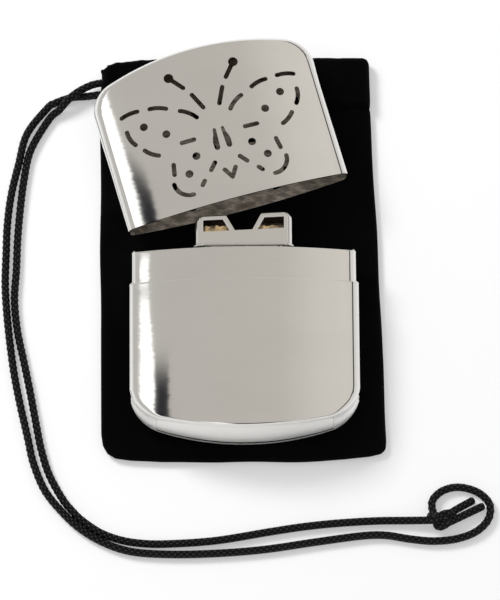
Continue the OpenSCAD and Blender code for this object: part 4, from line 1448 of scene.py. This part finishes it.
@dataclass
class Studio:
    """A plain pale table, soft light, and the camera at the photograph's angle."""

    aim: Point = (1.718 * MM, -4.343 * MM, 10.3 * MM)
    tip_back: float = 21.49
    yaw: float = -0.111
    roll: float = -0.452
    distance: float = 1.8125
    lens: float = 367.35
    board_height: float = 0.33
    daylight: float = 0.55
    table_glow: float = 0.36
    key: float = 18.0

    def build(self) -> None:
        """Makes the camera, the world, the table, the reflector board and the lamps."""
        self._camera()
        self._world()
        self._table()
        self._board()
        self._lamps()

    def _camera(self) -> None:
        """Makes the camera."""
        data = bpy.data.cameras.new("camera")
        data.lens = self.lens
        data.sensor_width = 36.0
        data.clip_end = 20.0
        camera = bpy.data.objects.new("camera", data)
        bpy.context.scene.collection.objects.link(camera)
        tip, yaw, roll = (math.radians(a) for a in (self.tip_back, self.yaw, self.roll))
        ahead = Vector((math.sin(yaw), math.sin(tip), -math.cos(tip))).normalized()
        level = ahead.cross(Vector((0, 1, 0))).normalized()
        above = level.cross(ahead)
        right = level * math.cos(roll) + above * math.sin(roll)
        up = above * math.cos(roll) - level * math.sin(roll)
        spot = Vector(self.aim) - ahead * self.distance
        camera.matrix_world = Matrix(((right.x, up.x, -ahead.x, spot.x), (right.y, up.y, -ahead.y, spot.y),
                                      (right.z, up.z, -ahead.z, spot.z), (0, 0, 0, 1)))
        bpy.context.scene.camera = camera

    def _world(self) -> None:
        """Makes an even pale world that polished metal sees darker overhead."""
        world = bpy.data.worlds.new("studio")
        bpy.context.scene.world = world
        tree = Tree(world)
        spot = tree.node("ShaderNodeTexCoord", {}, out="Generated")
        height = tree.node("ShaderNodeSeparateXYZ", {}, spot, out="Z")
        sky = tree.ramp(height.clamped(), [(0.0, (0.92, 0.92, 0.92)), (0.35, (0.85, 0.85, 0.84)),
                                           (1.0, (0.6, 0.58, 0.56))])
        path = tree.node("ShaderNodeLightPath", {}, out="Is Glossy Ray")
        even = tree.node("ShaderNodeBackground", {}, (1.0, 1.0, 1.0), self.daylight)
        seen = tree.node("ShaderNodeBackground", {}, sky, 1.0)
        tree.surface(tree.node("ShaderNodeMixShader", {}, path, even, seen))

    def _table(self) -> None:
        """Makes the white table."""
        bm = bmesh.new()
        bmesh.ops.create_grid(bm, x_segments=1, y_segments=1, size=3.0)
        made = bpy.data.materials.new("table_white")
        tree = Tree(made)
        seen = tree.node("ShaderNodeLightPath", {}, out="Is Camera Ray")
        mirrored = tree.node("ShaderNodeLightPath", {}, out="Is Glossy Ray")
        through = tree.node("ShaderNodeLightPath", {}, out="Is Transmission Ray")
        matte = tree.node("ShaderNodeBsdfDiffuse", {}, (0.93, 0.93, 0.93))
        glow = tree.node("ShaderNodeEmission", {}, (1.0, 1.0, 1.0), 1.0)
        share = (seen + mirrored + through).clamped() * self.table_glow
        tree.surface(tree.node("ShaderNodeMixShader", {}, share, matte, glow))
        finished("table", bm, materials=[made])

    def _board(self) -> None:
        """Makes the board overhead that only polished metal sees: grey, with a white and a dark strip."""
        bm = bmesh.new()
        bmesh.ops.create_grid(bm, x_segments=1, y_segments=1, size=0.9)
        made = bpy.data.materials.new("board")
        tree = Tree(made)
        spot = tree.place()
        x = tree.node("ShaderNodeSeparateXYZ", {}, spot, out="X")
        y = tree.node("ShaderNodeSeparateXYZ", {}, spot, out="Y")
        tones = ((-0.4, (.60, .59, .575)), (-0.2, (.58, .57, .545)), (-0.13, (.575, .555, .525)),
                 (0, (.585, .565, .53)), (.06, (.60, .58, .545)), (.13, (.71, .69, .645)),
                 (.19, (.765, .73, .68)), (.215, (.70, .68, .65)), (.235, (.05, .05, .05)),
                 (.3, (.05, .05, .05)), (.345, (.80, .79, .77)), (.5, (.80, .79, .77)))
        left, wide = -tones[0][0], tones[-1][0] - tones[0][0]
        base = tree.ramp((x + left) * (1 / wide), [((at + left) / wide, tone) for at, tone in tones])
        level = y + (x + 0.187) * 0.17
        right = -0.1665 - y.between(0.1, 0.137) * 0.0125
        strip = x.between(-0.2, -0.195) * (1 - (x - right).between(-0.0025, 0.0025))
        gap = level.band(0.133, 0.135, 0.1375, 0.1395)
        white = strip * (1 - gap) * (1 - level.between(0.149, 0.152))
        dark = x.band(-0.168, -0.163, -0.141, -0.134) * (1 - level.between(0.1, 0.115))
        near = y.band(-0.75, -0.7, -0.11, -0.09)
        spark = near * x.band(-0.115, -0.105, -0.058, -0.05)
        line = near * x.band(-0.054, -0.046, 0.09, 0.12)
        shade = tree.mix(y.between(0.5, 0.85) * 0.3, base, (0.3, 0.3, 0.3))
        shade = tree.mix(dark + line, shade, (0.012, 0.013, 0.018))
        shade = tree.mix(white + spark, shade, (1.6, 1.6, 1.6))
        tree.surface(tree.node("ShaderNodeEmission", {}, shade, 1.0))
        board = finished("board", bm, Matrix.Translation((0, 0, self.board_height)), materials=[made])
        board.visible_camera = False
        board.visible_diffuse = False
        board.visible_shadow = False
        board.visible_transmission = False

    def _lamps(self) -> None:
        """Makes the soft key lamp, high on the left behind the object."""
        data = bpy.data.lights.new("key", "AREA")
        data.energy = self.key
        data.size = 0.45
        lamp = bpy.data.objects.new("key", data)
        bpy.context.scene.collection.objects.link(lamp)
        lamp.location = (-0.8, 0.75, 0.95)
        lamp.rotation_mode = "QUATERNION"
        lamp.rotation_quaternion = Vector(lamp.location).to_track_quat("Z", "Y")
        lamp.visible_camera = False
        lamp.visible_glossy = False


def dress_nodes(frame: dict, finishes: dict[str, tuple[bpy.types.Material, Slot]]) -> None:
    """Gives carried-over CAD nodes their material.

    Args:
        finishes: Material and slot by node name.
    """
    for name, (material, slot_name) in finishes.items():
        node = frame["nodes"][name]
        node.data.materials.clear()
        node.data.materials.append(material)
        log.info("dressed %s", name)


def main() -> None:
    """Builds the camera and the cords first, then each sub-assembly in order."""
    logging.basicConfig(level=logging.INFO, format="%(name)s: %(message)s")
    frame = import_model()
    bpy.context.scene.view_settings.view_transform = "Standard"
    Studio().build()
    pieces = Drawstring(Braid().make()).build()
    low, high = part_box("tank_shell")
    crown = Crown(high.x, high.z - low.z)
    chrome = Chrome().make()
    satin = Satin().make()
    inside = BareInside().make()
    fibre = Fibre().make()
    # near-black satin, painted shade for the gap round the base plate
    painted_gap_shade = Satin("painted_gap_shade", (0.012, 0.011, 0.01), 0.6).make()
    pieces += Tank(crown, chrome, satin, painted_gap_shade, middle=(low.z + high.z) / 2).build()
    pieces += Cap(crown, Chrome("cap_chrome", grain=0.5).make(), inside).build()
    nickel = Chrome("burner_nickel", gloss=0.1, grain=0.6).make()
    scorched = BareInside("burner_inside", (0.32, 0.24, 0.2), (0.12, 0.09, 0.07), 0.25).make()
    pieces += Burner(nickel, scorched, satin, fibre, frame["nodes"]["catalyst_mat"]).build()
    pieces += Filling(Cotton().make()).build(frame["nodes"])
    pieces += Pouch(Velvet().make()).build()
    dress_nodes(frame, {name: (satin, Slot.SATIN) for name in ("top_plate", "filler_neck", "catalyst_screen")})
    for piece in pieces:
        log.info("%s has %d faces", piece.name, len(piece.data.polygons))


if __name__ == "__main__":
    main()
